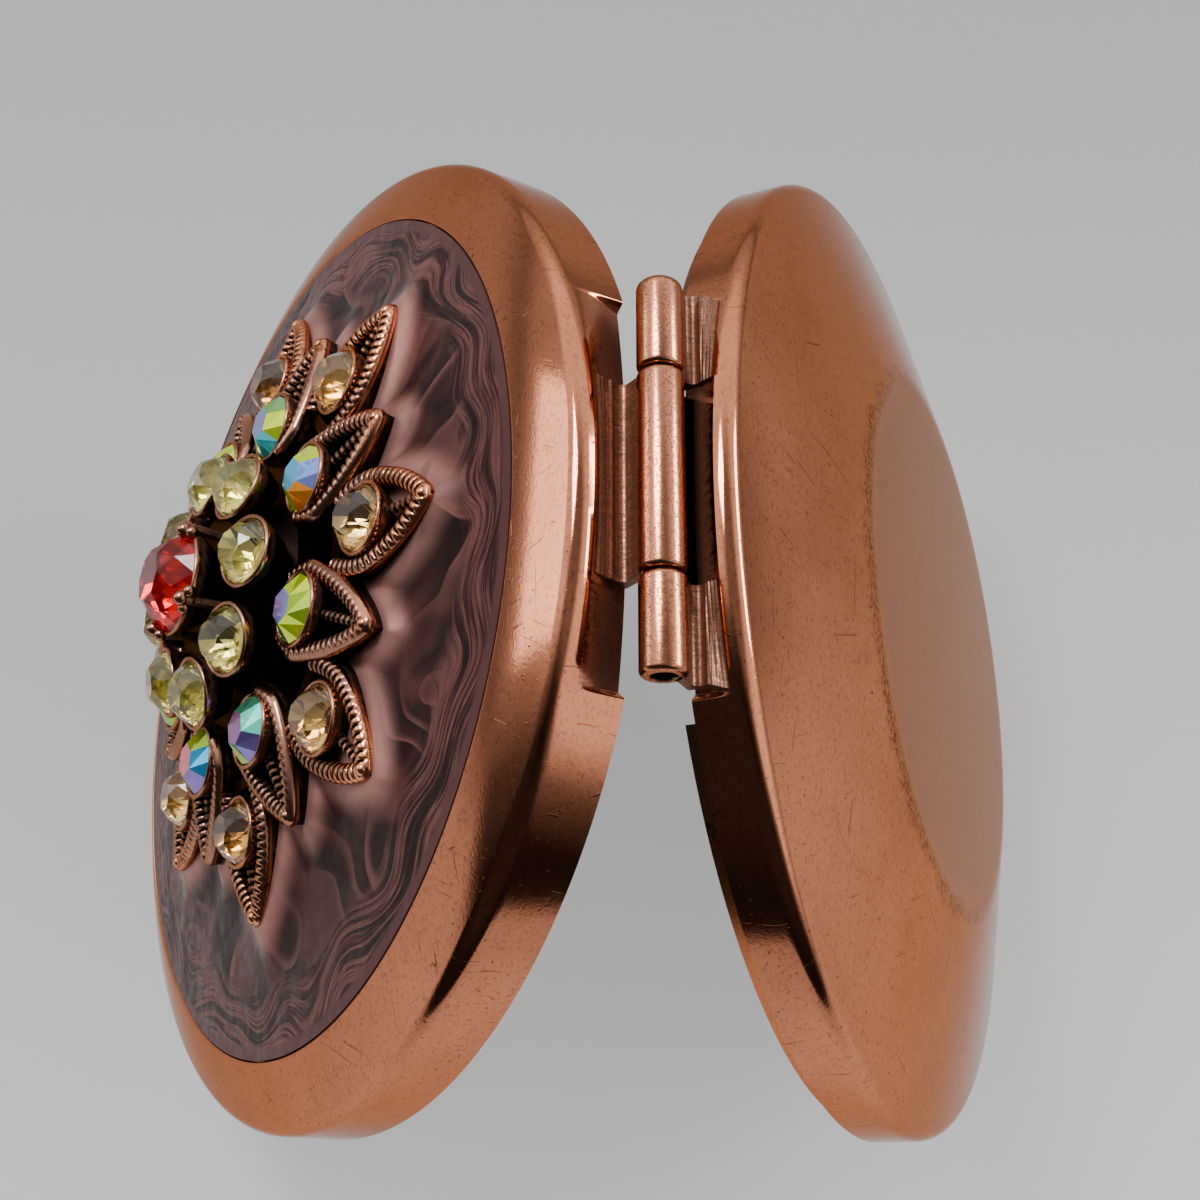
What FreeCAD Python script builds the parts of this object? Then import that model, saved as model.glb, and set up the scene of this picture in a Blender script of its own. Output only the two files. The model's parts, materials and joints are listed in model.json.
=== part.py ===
import FreeCAD
import Part
import math
import os

# A round stamped compact mirror with a jewelled flower on its enamelled lid, standing open as a
# tent. Millimetres. The hinge axis runs along Y at the top, the lid leans to -X, the base to +X,
# and the front edges of both rims stand on z = 0. Each half is drawn in a half frame of its own
# and then turned into place: there Y is the hinge axis, x runs from the hinge to the front, and
# z points out of the case, away from the plane where the halves meet.

Vector = FreeCAD.Vector
Rotation = FreeCAD.Rotation
Placement = FreeCAD.Placement

# Case
case_diameter = 62.0
shell_wall = 0.6
half_gap = 0.2
hinge_to_rim = 1.0
edge_round = 0.7
half_open_angle = 28.5
fit_gap = 0.05
run_gap = 0.15
overrun = 5.0

# Lid shell and enamel
lid_edge_height = 4.4
ring_width = 4.2
ring_height = 5.95
pan_depth = 0.75
enamel_crown = 7.3
enamel_rim_drop = 0.1

# Base shell
base_edge_height = 3.45
base_flat_radius = 17.6
base_flat_height = 7.0
flat_round = 6.0

# Hinge
hinge_length = 22.1
middle_knuckle_length = 11.2
knuckle_gap = 0.12
knuckle_radius = 1.25
knuckle_end_round = 0.3
pin_radius = 0.6
pin_inset = 0.7
pin_running_gap = 0.04
pin_grip_gap = 0.01
leaf_sheet = 0.5
leaf_low = 0.3
lid_leaf_top = 2.9
base_leaf_top = 2.3
leaf_bend = 0.6
recess_end_gap = 0.35
recess_depth = 1.9
relief_top = 0.9

# Mirrors, the frames that hold them and the pads behind them
mirror_inset = 5.5
mirror_thickness = 1.8
mirror_hollow = 0.5
frame_sheet = 0.5
frame_grip = 0.9
base_frame_set = 0.3
lid_frame_set = 0.95
skirt_height = 2.0
lip_rise = 1.0
lip_wall = 0.6
nest_gap = 0.4
pad_inset = 1.0

# Latch at the front
button_width = 7.2
button_height = 1.2
button_low = 1.5
button_proud = 0.5
button_travel = 0.8
button_face_round = 0.25
shoulder_reach = 1.0
slider_depth = 1.5
spring_room = 1.5
spring_sheet = 0.2
spring_span = 6.4
spring_height = 0.8
keeper_sheet = 0.3
keeper_depth = 2.6
nose_width = 3.6
nose_thickness = 0.8
hook_height = 0.6
hook_reach = 0.5
hook_gap = 0.2
catch_low = 0.35
catch_sheet = 0.6
catch_reach = 1.2
catch_side = 0.7
catch_height = 2.3

# Flower, on the lid: the middle of the flower is a little off the middle of the lid
flower_shift_x = -0.5
flower_shift_y = -1.25
petal_count = 8
half_pitch_share = 0.5
petal_rim = 0.65
tip_inset = 1.5
vein_width = 0.5
vein_drop = 0.35
cup_wall = 0.3
cup_rise = 0.15
hub_grip = 0.7

outer_step = 4.3
outer_lift = 1.75
outer_tilt = 11.5
outer_tip_reach = 5.9
outer_base_reach = 3.4
outer_base_half = 2.4
outer_wide_half = 3.2
outer_pocket = 1.3
outer_hub_drop = 1.05

inner_step = 3.8
inner_lift = 1.35
inner_tilt = 14.0
inner_tip_reach = 6.8
inner_base_reach = 2.1
inner_base_half = 2.0
inner_wide_half = 3.1
inner_pocket = 1.3
inner_depth = 2.4
inner_hub_drop = 1.0

cluster_ring_radius = 6.9
cluster_lift = 2.2
cluster_tilt = 24.0
cluster_cup_depth = 1.5
cluster_foot_reach = 0.1
cluster_top_inset = 2.4
cluster_top_drop = 0.3

claw_count = 4
claw_turn = 52.0
claw_radius = 0.35
claw_tip_radius = 0.5
claw_reach = 0.55
setting_height = 1.9

# Stones: girdle diameters, and the cut as shares of the diameter
champagne_diameter = 4.2
aurora_diameter = 3.9
yellow_diameter = 4.3
centre_diameter = 5.8
table_share = 0.56
star_share = 0.8
crown_share = 0.24
girdle_share = 0.04
pavilion_share = 0.24
culet_share = 0.3
stone_facets = 8

# Worked out from the sizes above
case_radius = case_diameter / 2
hinge_to_centre = case_radius + hinge_to_rim
shell_inner = case_radius - shell_wall
ring_inner_radius = case_radius - ring_width
mirror_radius = case_radius - mirror_inset
pad_radius = mirror_radius - pad_inset
frame_outer = shell_inner - fit_gap
skirt_inner = frame_outer - frame_sheet
frame_opening = mirror_radius - frame_grip
lip_outer = shell_inner - nest_gap
pan_floor = ring_height - pan_depth
enamel_radius = ring_inner_radius - fit_gap
enamel_edge = ring_height - enamel_rim_drop
half_knuckle = middle_knuckle_length / 2
recess_length = hinge_length + 2 * recess_end_gap
shoulder_width = button_width + 2 * shoulder_reach
catch_width = nose_width + 2 * catch_side
button_high = button_low + button_height
shoulder_front = math.sqrt(skirt_inner ** 2 - (shoulder_width / 2) ** 2) - fit_gap
slider_back = shoulder_front - slider_depth
keeper_inside = slider_back - spring_room
catch_edge = frame_outer - catch_reach
nose_front = catch_edge - run_gap
nose_back = nose_front - nose_thickness
catch_top = catch_low + catch_sheet
hook_low = catch_top + hook_gap
inner_ring_radius = cluster_ring_radius + inner_step
outer_ring_radius = inner_ring_radius + outer_step
outer_plane_height = enamel_crown + outer_lift
inner_plane_height = outer_plane_height + inner_lift
cluster_plane_height = inner_plane_height + cluster_lift
outer_hub_radius = outer_ring_radius - outer_base_reach + hub_grip
outer_hub_top = outer_plane_height - outer_hub_drop
inner_hub_radius = inner_ring_radius - inner_base_reach + hub_grip
inner_hub_top = inner_plane_height - inner_hub_drop
cluster_foot_radius = cluster_ring_radius + cluster_foot_reach
cluster_top_radius = cluster_ring_radius - cluster_top_inset
cluster_top = cluster_plane_height - cluster_top_drop
pitch = 360.0 / petal_count
lean = 90.0 - half_open_angle
open_sine = math.sin(math.radians(half_open_angle))
open_cosine = math.cos(math.radians(half_open_angle))
hinge_height = (hinge_to_centre + case_radius) * open_cosine - half_gap * open_sine
hinge_offset = (lid_edge_height - base_edge_height) * open_cosine / 2

HINGE = Vector(hinge_offset, 0, hinge_height)
CENTRE = Vector(hinge_to_centre, 0, 0)
UP = Vector(0, 0, 1)
ALONG = Vector(0, 1, 0)
BASE_PLACE = Placement(HINGE, Rotation(ALONG, lean))
LID_PLACE = Placement(HINGE, Rotation(ALONG, -lean) * Rotation(UP, 180))


# Shapes that several pieces use

def block(x0, x1, y0, y1, z0, z1):
    return Part.makeBox(x1 - x0, y1 - y0, z1 - z0, Vector(x0, y0, z0))


def front_block(r0, r1, half_width, z0, z1):
    """A block across the front of a half, from radius r0 to r1 of the case."""
    return block(hinge_to_centre + r0, hinge_to_centre + r1, -half_width, half_width, z0, z1)


def disc(radius, z0, z1):
    return Part.makeCylinder(radius, z1 - z0, CENTRE + Vector(0, 0, z0))


def corner_points(before, corner, after, radius):
    """Start, middle and end of the arc that rounds a corner."""
    back = (before - corner).normalize()
    ahead = (after - corner).normalize()
    half_angle = back.getAngle(ahead) / 2
    reach = radius / math.tan(half_angle)
    inward = (back + ahead).normalize()
    middle = corner + inward * (radius / math.sin(half_angle) - radius)
    return corner + back * reach, middle, corner + ahead * reach


def outline(points, rounds):
    """A closed wire through points, with the corners in rounds {index: radius} rounded."""
    count = len(points)
    ends = []
    edges = []
    for i, point in enumerate(points):
        if i in rounds:
            start, middle, end = corner_points(
                points[i - 1], point, points[(i + 1) % count], rounds[i])
            edges.append(Part.Arc(start, middle, end).toShape())
            ends.append((start, end))
        else:
            ends.append((point, point))
    for i in range(count):
        edges.append(Part.makeLine(ends[i][1], ends[(i + 1) % count][0]))
    return Part.Wire(Part.__sortEdges__(edges))


def turned(profile, rounds=None):
    """A solid turned about the axis of the case from (radius, height) points."""
    points = [CENTRE + Vector(r, 0, z) for r, z in profile]
    return Part.Face(outline(points, rounds or {})).revolve(CENTRE, UP, 360)


def recess_slope(edge_height):
    """How far the wall of the hinge hollow goes in for each step down from the edge."""
    return recess_depth / (edge_height - edge_round - half_gap)


def recess(edge_height, offset, y0, y1):
    """The space outside the hollow pressed into a band for the hinge, moved inwards by offset."""
    top = edge_height - edge_round
    slope = recess_slope(edge_height)
    outside = case_radius + overrun
    foot = case_radius - slope * (top + overrun)
    ring = turned([(foot - offset, -overrun), (case_radius - offset, top), (outside, top),
                   (outside, -overrun)])
    return ring.common(block(-overrun, hinge_to_centre, y0, y1, -overrun, top))


def whole_recess(edge_height, offset):
    """The hollow over its whole length, with its ends moved out by the same offset."""
    half_length = recess_length / 2 + offset
    return recess(edge_height, offset, -half_length, half_length)


# Shells

def hollow_shell(body, cavity, edge_height):
    """A pressed shell with the hinge hollow in its band."""
    room = cavity.cut(whole_recess(edge_height, shell_wall))
    return body.cut(whole_recess(edge_height, 0)).cut(room)


def ring_under(radius):
    """Height of the inner face of the lid's sloped ring."""
    slope = (ring_height - lid_edge_height) / (case_radius - ring_inner_radius)
    return lid_edge_height + (case_radius - radius) * slope - shell_wall * math.hypot(1, slope)


def lid_shell():
    body = turned([(0, half_gap), (case_radius, half_gap), (case_radius, lid_edge_height),
                   (ring_inner_radius, ring_height), (ring_inner_radius, pan_floor),
                   (0, pan_floor)], {2: edge_round})
    step_radius = ring_inner_radius + shell_wall
    pan_under = pan_floor - shell_wall
    cavity = turned([(0, half_gap - overrun), (shell_inner, half_gap - overrun),
                     (shell_inner, ring_under(shell_inner)),
                     (step_radius, ring_under(step_radius)), (step_radius, pan_under),
                     (0, pan_under)])
    return hollow_shell(body, cavity, lid_edge_height)


def slope_under(radius):
    """Height of the inner face of the base's slope."""
    slope = (base_flat_height - base_edge_height) / (case_radius - base_flat_radius)
    return base_edge_height + (case_radius - radius) * slope - shell_wall * math.hypot(1, slope)


def base_shell():
    flat_under = base_flat_height - shell_wall
    body = turned([(0, half_gap), (case_radius, half_gap), (case_radius, base_edge_height),
                   (base_flat_radius, base_flat_height), (0, base_flat_height)],
                  {2: edge_round, 3: flat_round})
    cavity = turned([(0, half_gap - overrun), (shell_inner, half_gap - overrun),
                     (shell_inner, slope_under(shell_inner)), (base_flat_radius, flat_under),
                     (0, flat_under)], {3: flat_round})
    shell = hollow_shell(body, cavity, base_edge_height)
    half_relief = half_knuckle + knuckle_gap
    relief = block(0, hinge_to_centre - frame_opening, -half_relief, half_relief, -overrun,
                   relief_top)
    window = front_block(frame_opening, case_radius + overrun, button_width / 2 + run_gap,
                         button_low - run_gap, button_high + run_gap)
    return shell.cut(relief).cut(window)


def enamel_panel(lift, floor):
    """The domed panel, or with a lift the space that lies under what stands on it."""
    rise = enamel_crown - enamel_edge
    sphere_radius = (enamel_radius ** 2 + rise ** 2) / (2 * rise)
    half_radius = enamel_radius / 2
    half_drop = sphere_radius - math.sqrt(sphere_radius ** 2 - half_radius ** 2)
    rim = CENTRE + Vector(enamel_radius, 0, enamel_edge + lift)
    middle = CENTRE + Vector(half_radius, 0, enamel_crown - half_drop + lift)
    crown = CENTRE + Vector(0, 0, enamel_crown + lift)
    foot = CENTRE + Vector(enamel_radius, 0, floor)
    heart = CENTRE + Vector(0, 0, floor)
    edges = [Part.makeLine(heart, foot), Part.makeLine(foot, rim),
             Part.Arc(rim, middle, crown).toShape(), Part.makeLine(crown, heart)]
    return Part.Face(Part.Wire(edges)).revolve(CENTRE, UP, 360)


# Hinge

def barrel(radius, y0, y1, end_round=0):
    """A round bar along the hinge axis, with rounded ends where end_round is given."""
    points = [Vector(0, y0, 0), Vector(radius, y0, 0), Vector(radius, y1, 0), Vector(0, y1, 0)]
    rounds = {1: end_round, 2: end_round} if end_round else {}
    return Part.Face(outline(points, rounds)).revolve(Vector(0, 0, 0), ALONG, 360)


def leaf_face(edge_height, height):
    """Distance from the hinge axis to the face of a leaf that stands against the hollow's wall."""
    wall = hinge_to_rim + recess_slope(edge_height) * (edge_height - edge_round - height)
    return wall - leaf_sheet


def hinge_leaf(edge_height, leaf_top, y0, y1, bore_radius):
    """A straight strip, bent up the wall of the hinge hollow and rolled round the pin."""
    tail_top = leaf_low + leaf_sheet
    section = [(0, leaf_low), (hinge_to_centre, leaf_low), (hinge_to_centre, leaf_top),
               (leaf_face(edge_height, leaf_top), leaf_top),
               (leaf_face(edge_height, tail_top), tail_top), (0, tail_top)]
    wire = outline([Vector(x, y0, z) for x, z in section], {4: leaf_bend})
    strip = Part.Face(wire).extrude(Vector(0, y1 - y0, 0)).common(recess(edge_height, 0, y0, y1))
    knuckle = barrel(knuckle_radius, y0, y1, knuckle_end_round)
    bore = barrel(bore_radius, y0 - overrun, y1 + overrun)
    return knuckle.fuse(strip).removeSplitter().cut(bore)


def lid_hinge_leaf():
    return hinge_leaf(lid_edge_height, lid_leaf_top, -half_knuckle, half_knuckle,
                      pin_radius + pin_running_gap)


def base_hinge_leaf(side):
    """One of the two outer leaves, at side -1 or 1 of the hinge."""
    ends = sorted([side * (half_knuckle + knuckle_gap), side * hinge_length / 2])
    return hinge_leaf(base_edge_height, base_leaf_top, ends[0], ends[1],
                      pin_radius + pin_grip_gap)


def hinge_pin():
    half_length = hinge_length / 2 - pin_inset
    return barrel(pin_radius, -half_length, half_length)


# Mirrors, frames and pads

def mirror_frame(frame_set, edge_height):
    """A ring that holds a mirror by its rim, with a skirt that grips the shell."""
    under = frame_set + frame_sheet
    foot = under + skirt_height
    ring = turned([(frame_opening, frame_set), (frame_outer, frame_set), (frame_outer, foot),
                   (skirt_inner, foot), (skirt_inner, under), (frame_opening, under)])
    return ring.cut(whole_recess(edge_height, shell_wall + run_gap))


def lid_frame():
    ring = mirror_frame(lid_frame_set, lid_edge_height)
    notch = front_block(nose_back - button_travel - run_gap, case_radius,
                        catch_width / 2 + run_gap, -overrun, ring_height)
    return ring.cut(notch)


def base_frame():
    lip = turned([(lip_outer - lip_wall, base_frame_set), (lip_outer - lip_wall,
                  base_frame_set - lip_rise), (lip_outer, base_frame_set - lip_rise),
                  (lip_outer, base_frame_set)])
    lip = lip.cut(whole_recess(base_edge_height, shell_wall + run_gap))
    lip = lip.cut(front_block(frame_opening, case_radius, catch_width / 2 + nest_gap,
                              base_frame_set - lip_rise - overrun, base_frame_set))
    nose_slot = front_block(nose_back - button_travel - run_gap, nose_front + run_gap,
                            nose_width / 2 + run_gap, -overrun, button_low)
    button_slot = front_block(skirt_inner - frame_sheet, case_radius,
                              button_width / 2 + run_gap, button_low - run_gap,
                              base_flat_height)
    ring = mirror_frame(base_frame_set, base_edge_height).fuse(lip).removeSplitter()
    return ring.cut(nose_slot).cut(button_slot)


def lid_mirror():
    front = lid_frame_set + frame_sheet
    return disc(mirror_radius, front, front + mirror_thickness)


def base_mirror():
    """A magnifying mirror: its front face is a shallow hollow."""
    front = base_frame_set + frame_sheet
    back = front + mirror_thickness
    sphere_radius = (mirror_radius ** 2 + mirror_hollow ** 2) / (2 * mirror_hollow)
    glass = disc(mirror_radius, front, back)
    ball = Part.makeSphere(sphere_radius, CENTRE + Vector(0, 0, front + mirror_hollow - sphere_radius))
    return glass.cut(ball)


def lid_pad():
    back = lid_frame_set + frame_sheet + mirror_thickness
    return disc(pad_radius, back, pan_floor - shell_wall - fit_gap)


def base_pad():
    back = base_frame_set + frame_sheet + mirror_thickness
    top = base_flat_height - shell_wall - fit_gap
    return turned([(0, back), (pad_radius, back), (pad_radius, slope_under(pad_radius) - fit_gap),
                   (base_flat_radius, top), (0, top)], {3: flat_round})


# Latch

def latch_button():
    """The sliding button with its stop shoulders and the hooked nose that holds the lid."""
    half_width = button_width / 2
    face_radius = case_radius + button_proud
    push = front_block(slider_back, face_radius, half_width, button_low, button_high)
    face = turned([(0, button_low), (face_radius, button_low), (face_radius, button_high),
                   (0, button_high)], {1: button_face_round, 2: button_face_round})
    shoulder = front_block(slider_back, shoulder_front, shoulder_width / 2, button_low, button_high)
    nose_top = -(hook_low + hook_height)
    nose = front_block(nose_back, nose_front, nose_width / 2, nose_top, button_low)
    hook_points = [(nose_front, -hook_low), (nose_front + hook_reach, -hook_low),
                   (nose_front, nose_top)]
    hook_wire = outline([Vector(hinge_to_centre + r, -nose_width / 2, z) for r, z in hook_points], {})
    hook = Part.Face(hook_wire).extrude(Vector(0, nose_width, 0))
    return push.common(face).fuse([shoulder, nose, hook]).removeSplitter()


def latch_spring():
    """A bow spring between the keeper and the back of the button."""
    foot = hinge_to_centre + keeper_inside + fit_gap
    crown = hinge_to_centre + slider_back - fit_gap
    low = (button_low + button_high - spring_height) / 2
    half_span = spring_span / 2
    half_inside = half_span - 2 * spring_sheet
    ends = [Vector(foot, -half_span, low), Vector(foot, half_span, low),
            Vector(foot, half_inside, low), Vector(foot, -half_inside, low)]
    edges = [Part.Arc(ends[0], Vector(crown, 0, low), ends[1]).toShape(),
             Part.makeLine(ends[1], ends[2]),
             Part.Arc(ends[2], Vector(crown - spring_sheet, 0, low), ends[3]).toShape(),
             Part.makeLine(ends[3], ends[0])]
    return Part.Face(Part.Wire(edges)).extrude(Vector(0, 0, spring_height))


def latch_keeper():
    """The open box under the frame that the button slides in."""
    inside_half = shoulder_width / 2 + run_gap
    outside_half = inside_half + keeper_sheet
    ceiling = base_frame_set + frame_sheet
    floor = button_high + run_gap
    back = keeper_inside - keeper_sheet
    box = front_block(back, keeper_inside + keeper_depth, outside_half, ceiling,
                      floor + keeper_sheet)
    room = front_block(keeper_inside, keeper_inside + keeper_depth + overrun, inside_half,
                       ceiling - overrun, floor)
    return box.cut(room)


def lid_catch():
    """The angle on the lid that the nose hooks under."""
    half_width = catch_width / 2
    lip = front_block(catch_edge, case_radius, half_width, catch_low, catch_top)
    plate = front_block(skirt_inner, case_radius, half_width, catch_low, catch_low + catch_height)
    return lip.fuse(plate).removeSplitter().common(disc(frame_outer, 0, ring_height))


# Flower

def flower_place(angle, radius, height, tilt):
    """The place of a petal or a stone: at a radius and height, leaning outwards by tilt."""
    turn = Rotation(UP, angle)
    middle = CENTRE + Vector(flower_shift_x, flower_shift_y, height)
    return Placement(middle + turn.multVec(Vector(radius, 0, 0)), turn * Rotation(ALONG, tilt))


def placed(shape, place):
    copy = shape.copy()
    copy.Placement = place.multiply(copy.Placement)
    return copy


def ring_places(radius, height, tilt, turn_share):
    return [flower_place((i + turn_share) * pitch, radius, height, tilt) for i in range(petal_count)]


def flower_disc(radius, z0, z1, top_radius=None):
    foot = CENTRE + Vector(flower_shift_x, flower_shift_y, z0)
    if top_radius is None:
        return Part.makeCylinder(radius, z1 - z0, foot)
    return Part.makeCone(radius, top_radius, z1 - z0, foot)


OUTER_PLACES = ring_places(outer_ring_radius, outer_plane_height, outer_tilt, 0)
INNER_PLACES = ring_places(inner_ring_radius, inner_plane_height, inner_tilt, half_pitch_share)
CLUSTER_PLACES = ring_places(cluster_ring_radius, cluster_plane_height, cluster_tilt, 0)


def petal_slab(base_reach, base_half, wide_half, tip_reach, top, bottom):
    """A pointed leaf shape, widest at its stone, between two heights."""
    tip = Vector(tip_reach, 0, top)
    sides = []
    for side in (-1, 1):
        foot = Vector(-base_reach, side * base_half, top)
        sides.append((foot, Part.Arc(foot, Vector(0, side * wide_half, top), tip).toShape()))
    edges = [sides[0][1], sides[1][1], Part.makeLine(sides[1][0], sides[0][0])]
    face = Part.Face(Part.Wire(Part.__sortEdges__(edges)))
    return face.extrude(Vector(0, 0, bottom - top))


def pavilion_depth(diameter):
    return (pavilion_share + girdle_share) * diameter


def seat(diameter):
    """The hole that a stone drops into, its girdle at the rim of the cup."""
    depth = pavilion_depth(diameter)
    return Part.makeCylinder(diameter / 2 + fit_gap, depth + overrun, Vector(0, 0, cup_rise - depth))


def cup(diameter, depth):
    return Part.makeCylinder(diameter / 2 + cup_wall, depth + cup_rise, Vector(0, 0, -depth))


def petal_pocket(base_reach, base_half, wide_half, tip_reach, depth):
    """The hollow of a petal inside its rim, with the vein left standing."""
    hollow = petal_slab(base_reach - petal_rim, base_half - petal_rim, wide_half - petal_rim,
                        tip_reach - tip_inset, overrun, -depth)
    vein = block(0, tip_reach, -vein_width / 2, vein_width / 2, -depth, -vein_drop)
    return hollow.cut(vein)


def petal_ring(blocks, places, pocket, depth, diameter):
    """Hollows the petals of a ring out and sets a stone cup in each."""
    ring = blocks.cut([placed(pocket, place) for place in places])
    ring = ring.fuse([placed(cup(diameter, depth), place) for place in places])
    return ring.cut([placed(seat(diameter), place) for place in places])


def lid_ground():
    """Everything under the flower: the enamel, and the ring round it."""
    floor = pan_floor - overrun
    return enamel_panel(fit_gap, floor).fuse(disc(case_radius, floor, enamel_edge + fit_gap))


def outer_blocks():
    """The outer petals before they are hollowed, down to the enamel."""
    slab = petal_slab(outer_base_reach, outer_base_half, outer_wide_half, outer_tip_reach, 0,
                      -overrun)
    hub = flower_disc(outer_hub_radius, pan_floor, outer_hub_top)
    return hub.fuse([placed(slab, place) for place in OUTER_PLACES]).cut(lid_ground())


def outer_petals(blocks):
    pocket = petal_pocket(outer_base_reach, outer_base_half, outer_wide_half, outer_tip_reach,
                          outer_pocket)
    return petal_ring(blocks, OUTER_PLACES, pocket, outer_pocket, champagne_diameter)


def inner_petals(blocks):
    """The inner petals, which lie on the outer ones and fill the gaps between them."""
    slab = petal_slab(inner_base_reach, inner_base_half, inner_wide_half, inner_tip_reach, 0,
                      -inner_depth)
    pocket = petal_pocket(inner_base_reach, inner_base_half, inner_wide_half, inner_tip_reach,
                          inner_pocket)
    hub = flower_disc(inner_hub_radius, outer_hub_top, inner_hub_top)
    ring = hub.fuse([placed(slab, place) for place in INNER_PLACES]).cut([lid_ground(), blocks])
    return petal_ring(ring, INNER_PLACES, pocket, inner_pocket, aurora_diameter)


def cup_cluster():
    hub = flower_disc(cluster_foot_radius, inner_hub_top, cluster_top, cluster_top_radius)
    cups = [placed(cup(yellow_diameter, cluster_cup_depth), place) for place in CLUSTER_PLACES]
    seats = [placed(seat(yellow_diameter), place) for place in CLUSTER_PLACES]
    return hub.fuse(cups).cut(seats)


def setting_place():
    """The rim of the centre cup."""
    return flower_place(0, 0, cluster_top + setting_height, 0)


def claw(angle):
    """A post beside the centre stone with a ball that holds it down."""
    turn = Rotation(UP, angle)
    foot = turn.multVec(Vector(centre_diameter / 2 + cup_wall, 0, -setting_height))
    post = Part.makeCylinder(claw_radius, setting_height + claw_reach, foot)
    ball = Part.makeSphere(claw_tip_radius, foot + Vector(0, 0, setting_height + claw_reach))
    return post.fuse(ball)


def centre_setting():
    body = cup(centre_diameter, setting_height)
    claws = [claw(claw_turn + i * 360.0 / claw_count) for i in range(claw_count)]
    shape = body.fuse(claws).cut(seat(centre_diameter))
    return placed(shape.cut(stone(centre_diameter, fit_gap)), setting_place())


# Stones

def ring_of_points(radius, height, count, turn_share):
    step = 2 * math.pi / count
    angles = [(i + turn_share) * step for i in range(count)]
    return [Vector(radius * math.cos(a), radius * math.sin(a), height) for a in angles]


def stone(diameter, growth=0):
    """A round cut stone with its culet in the bottom of its seat, grown all round by growth."""
    radius = diameter / 2 + growth
    n = stone_facets
    base = cup_rise - pavilion_depth(diameter)
    girdle_low = base + pavilion_share * diameter
    girdle_high = base + pavilion_depth(diameter)
    crown = crown_share * diameter + growth
    table_radius = radius * table_share
    star_radius = radius * star_share
    star_reach = star_radius * math.cos(math.pi / n)
    star_height = girdle_high + crown * (radius - star_reach) / (radius - table_radius)
    table = ring_of_points(table_radius, girdle_high + crown, n, 0)
    star = ring_of_points(star_radius, star_height, n, half_pitch_share)
    high = ring_of_points(radius, girdle_high, 2 * n, 0)
    low = ring_of_points(radius, girdle_low, 2 * n, 0)
    culet = ring_of_points(radius * culet_share, base, n, 0)
    facets = [table, culet]
    for k in range(n):
        after = (k + 1) % n
        even, odd, following = 2 * k, 2 * k + 1, (2 * k + 2) % (2 * n)
        facets += [
            [table[k], table[after], star[k]],
            [table[k], star[k - 1], high[even], star[k]],
            [star[k], high[even], high[odd]],
            [star[k], high[odd], high[following]],
            [high[even], high[odd], low[odd], low[even]],
            [high[odd], high[following], low[following], low[odd]],
            [low[even], low[odd], culet[k]],
            [low[odd], low[following], culet[after]],
            [culet[k], culet[after], low[odd]],
        ]
    faces = [Part.Face(Part.makePolygon(points + points[:1])) for points in facets]
    return Part.Solid(Part.Shell(faces))


def stones():
    """Every stone by name, in the lid's half frame."""
    rings = [("champagne_stone", champagne_diameter, OUTER_PLACES),
             ("aurora_stone", aurora_diameter, INNER_PLACES),
             ("yellow_stone", yellow_diameter, CLUSTER_PLACES)]
    named = {"centre_stone": placed(stone(centre_diameter), setting_place())}
    for name, diameter, places in rings:
        for i, place in enumerate(places):
            named[f"{name}_{i + 1}"] = placed(stone(diameter), place)
    return named


def lid_pieces():
    blocks = outer_blocks()
    pieces = {
        "lid_shell": lid_shell(),
        "enamel_panel": enamel_panel(0, pan_floor),
        "lid_frame": lid_frame(),
        "lid_mirror": lid_mirror(),
        "lid_pad": lid_pad(),
        "lid_hinge_leaf": lid_hinge_leaf(),
        "lid_catch": lid_catch(),
        "outer_petals": outer_petals(blocks),
        "inner_petals": inner_petals(blocks),
        "cup_cluster": cup_cluster(),
        "centre_setting": centre_setting(),
    }
    pieces.update(stones())
    return pieces


def base_pieces():
    return {
        "base_shell": base_shell(),
        "base_frame": base_frame(),
        "base_mirror": base_mirror(),
        "base_pad": base_pad(),
        "base_hinge_leaf_far": base_hinge_leaf(1),
        "base_hinge_leaf_near": base_hinge_leaf(-1),
        "hinge_pin": hinge_pin(),
        "latch_button": latch_button(),
        "latch_spring": latch_spring(),
        "latch_keeper": latch_keeper(),
    }


def main():
    os.makedirs("parts", exist_ok=True)
    for pieces, place in ((lid_pieces(), LID_PLACE), (base_pieces(), BASE_PLACE)):
        for name, shape in pieces.items():
            placed(shape, place).exportStep(f"parts/{name}.step")
            print(name, shape.ShapeType, len(shape.Solids), shape.isValid(), round(shape.Volume, 3))


main()
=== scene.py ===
import bpy
import json
import math
import numpy as np
from mathutils import Matrix, Vector


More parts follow.
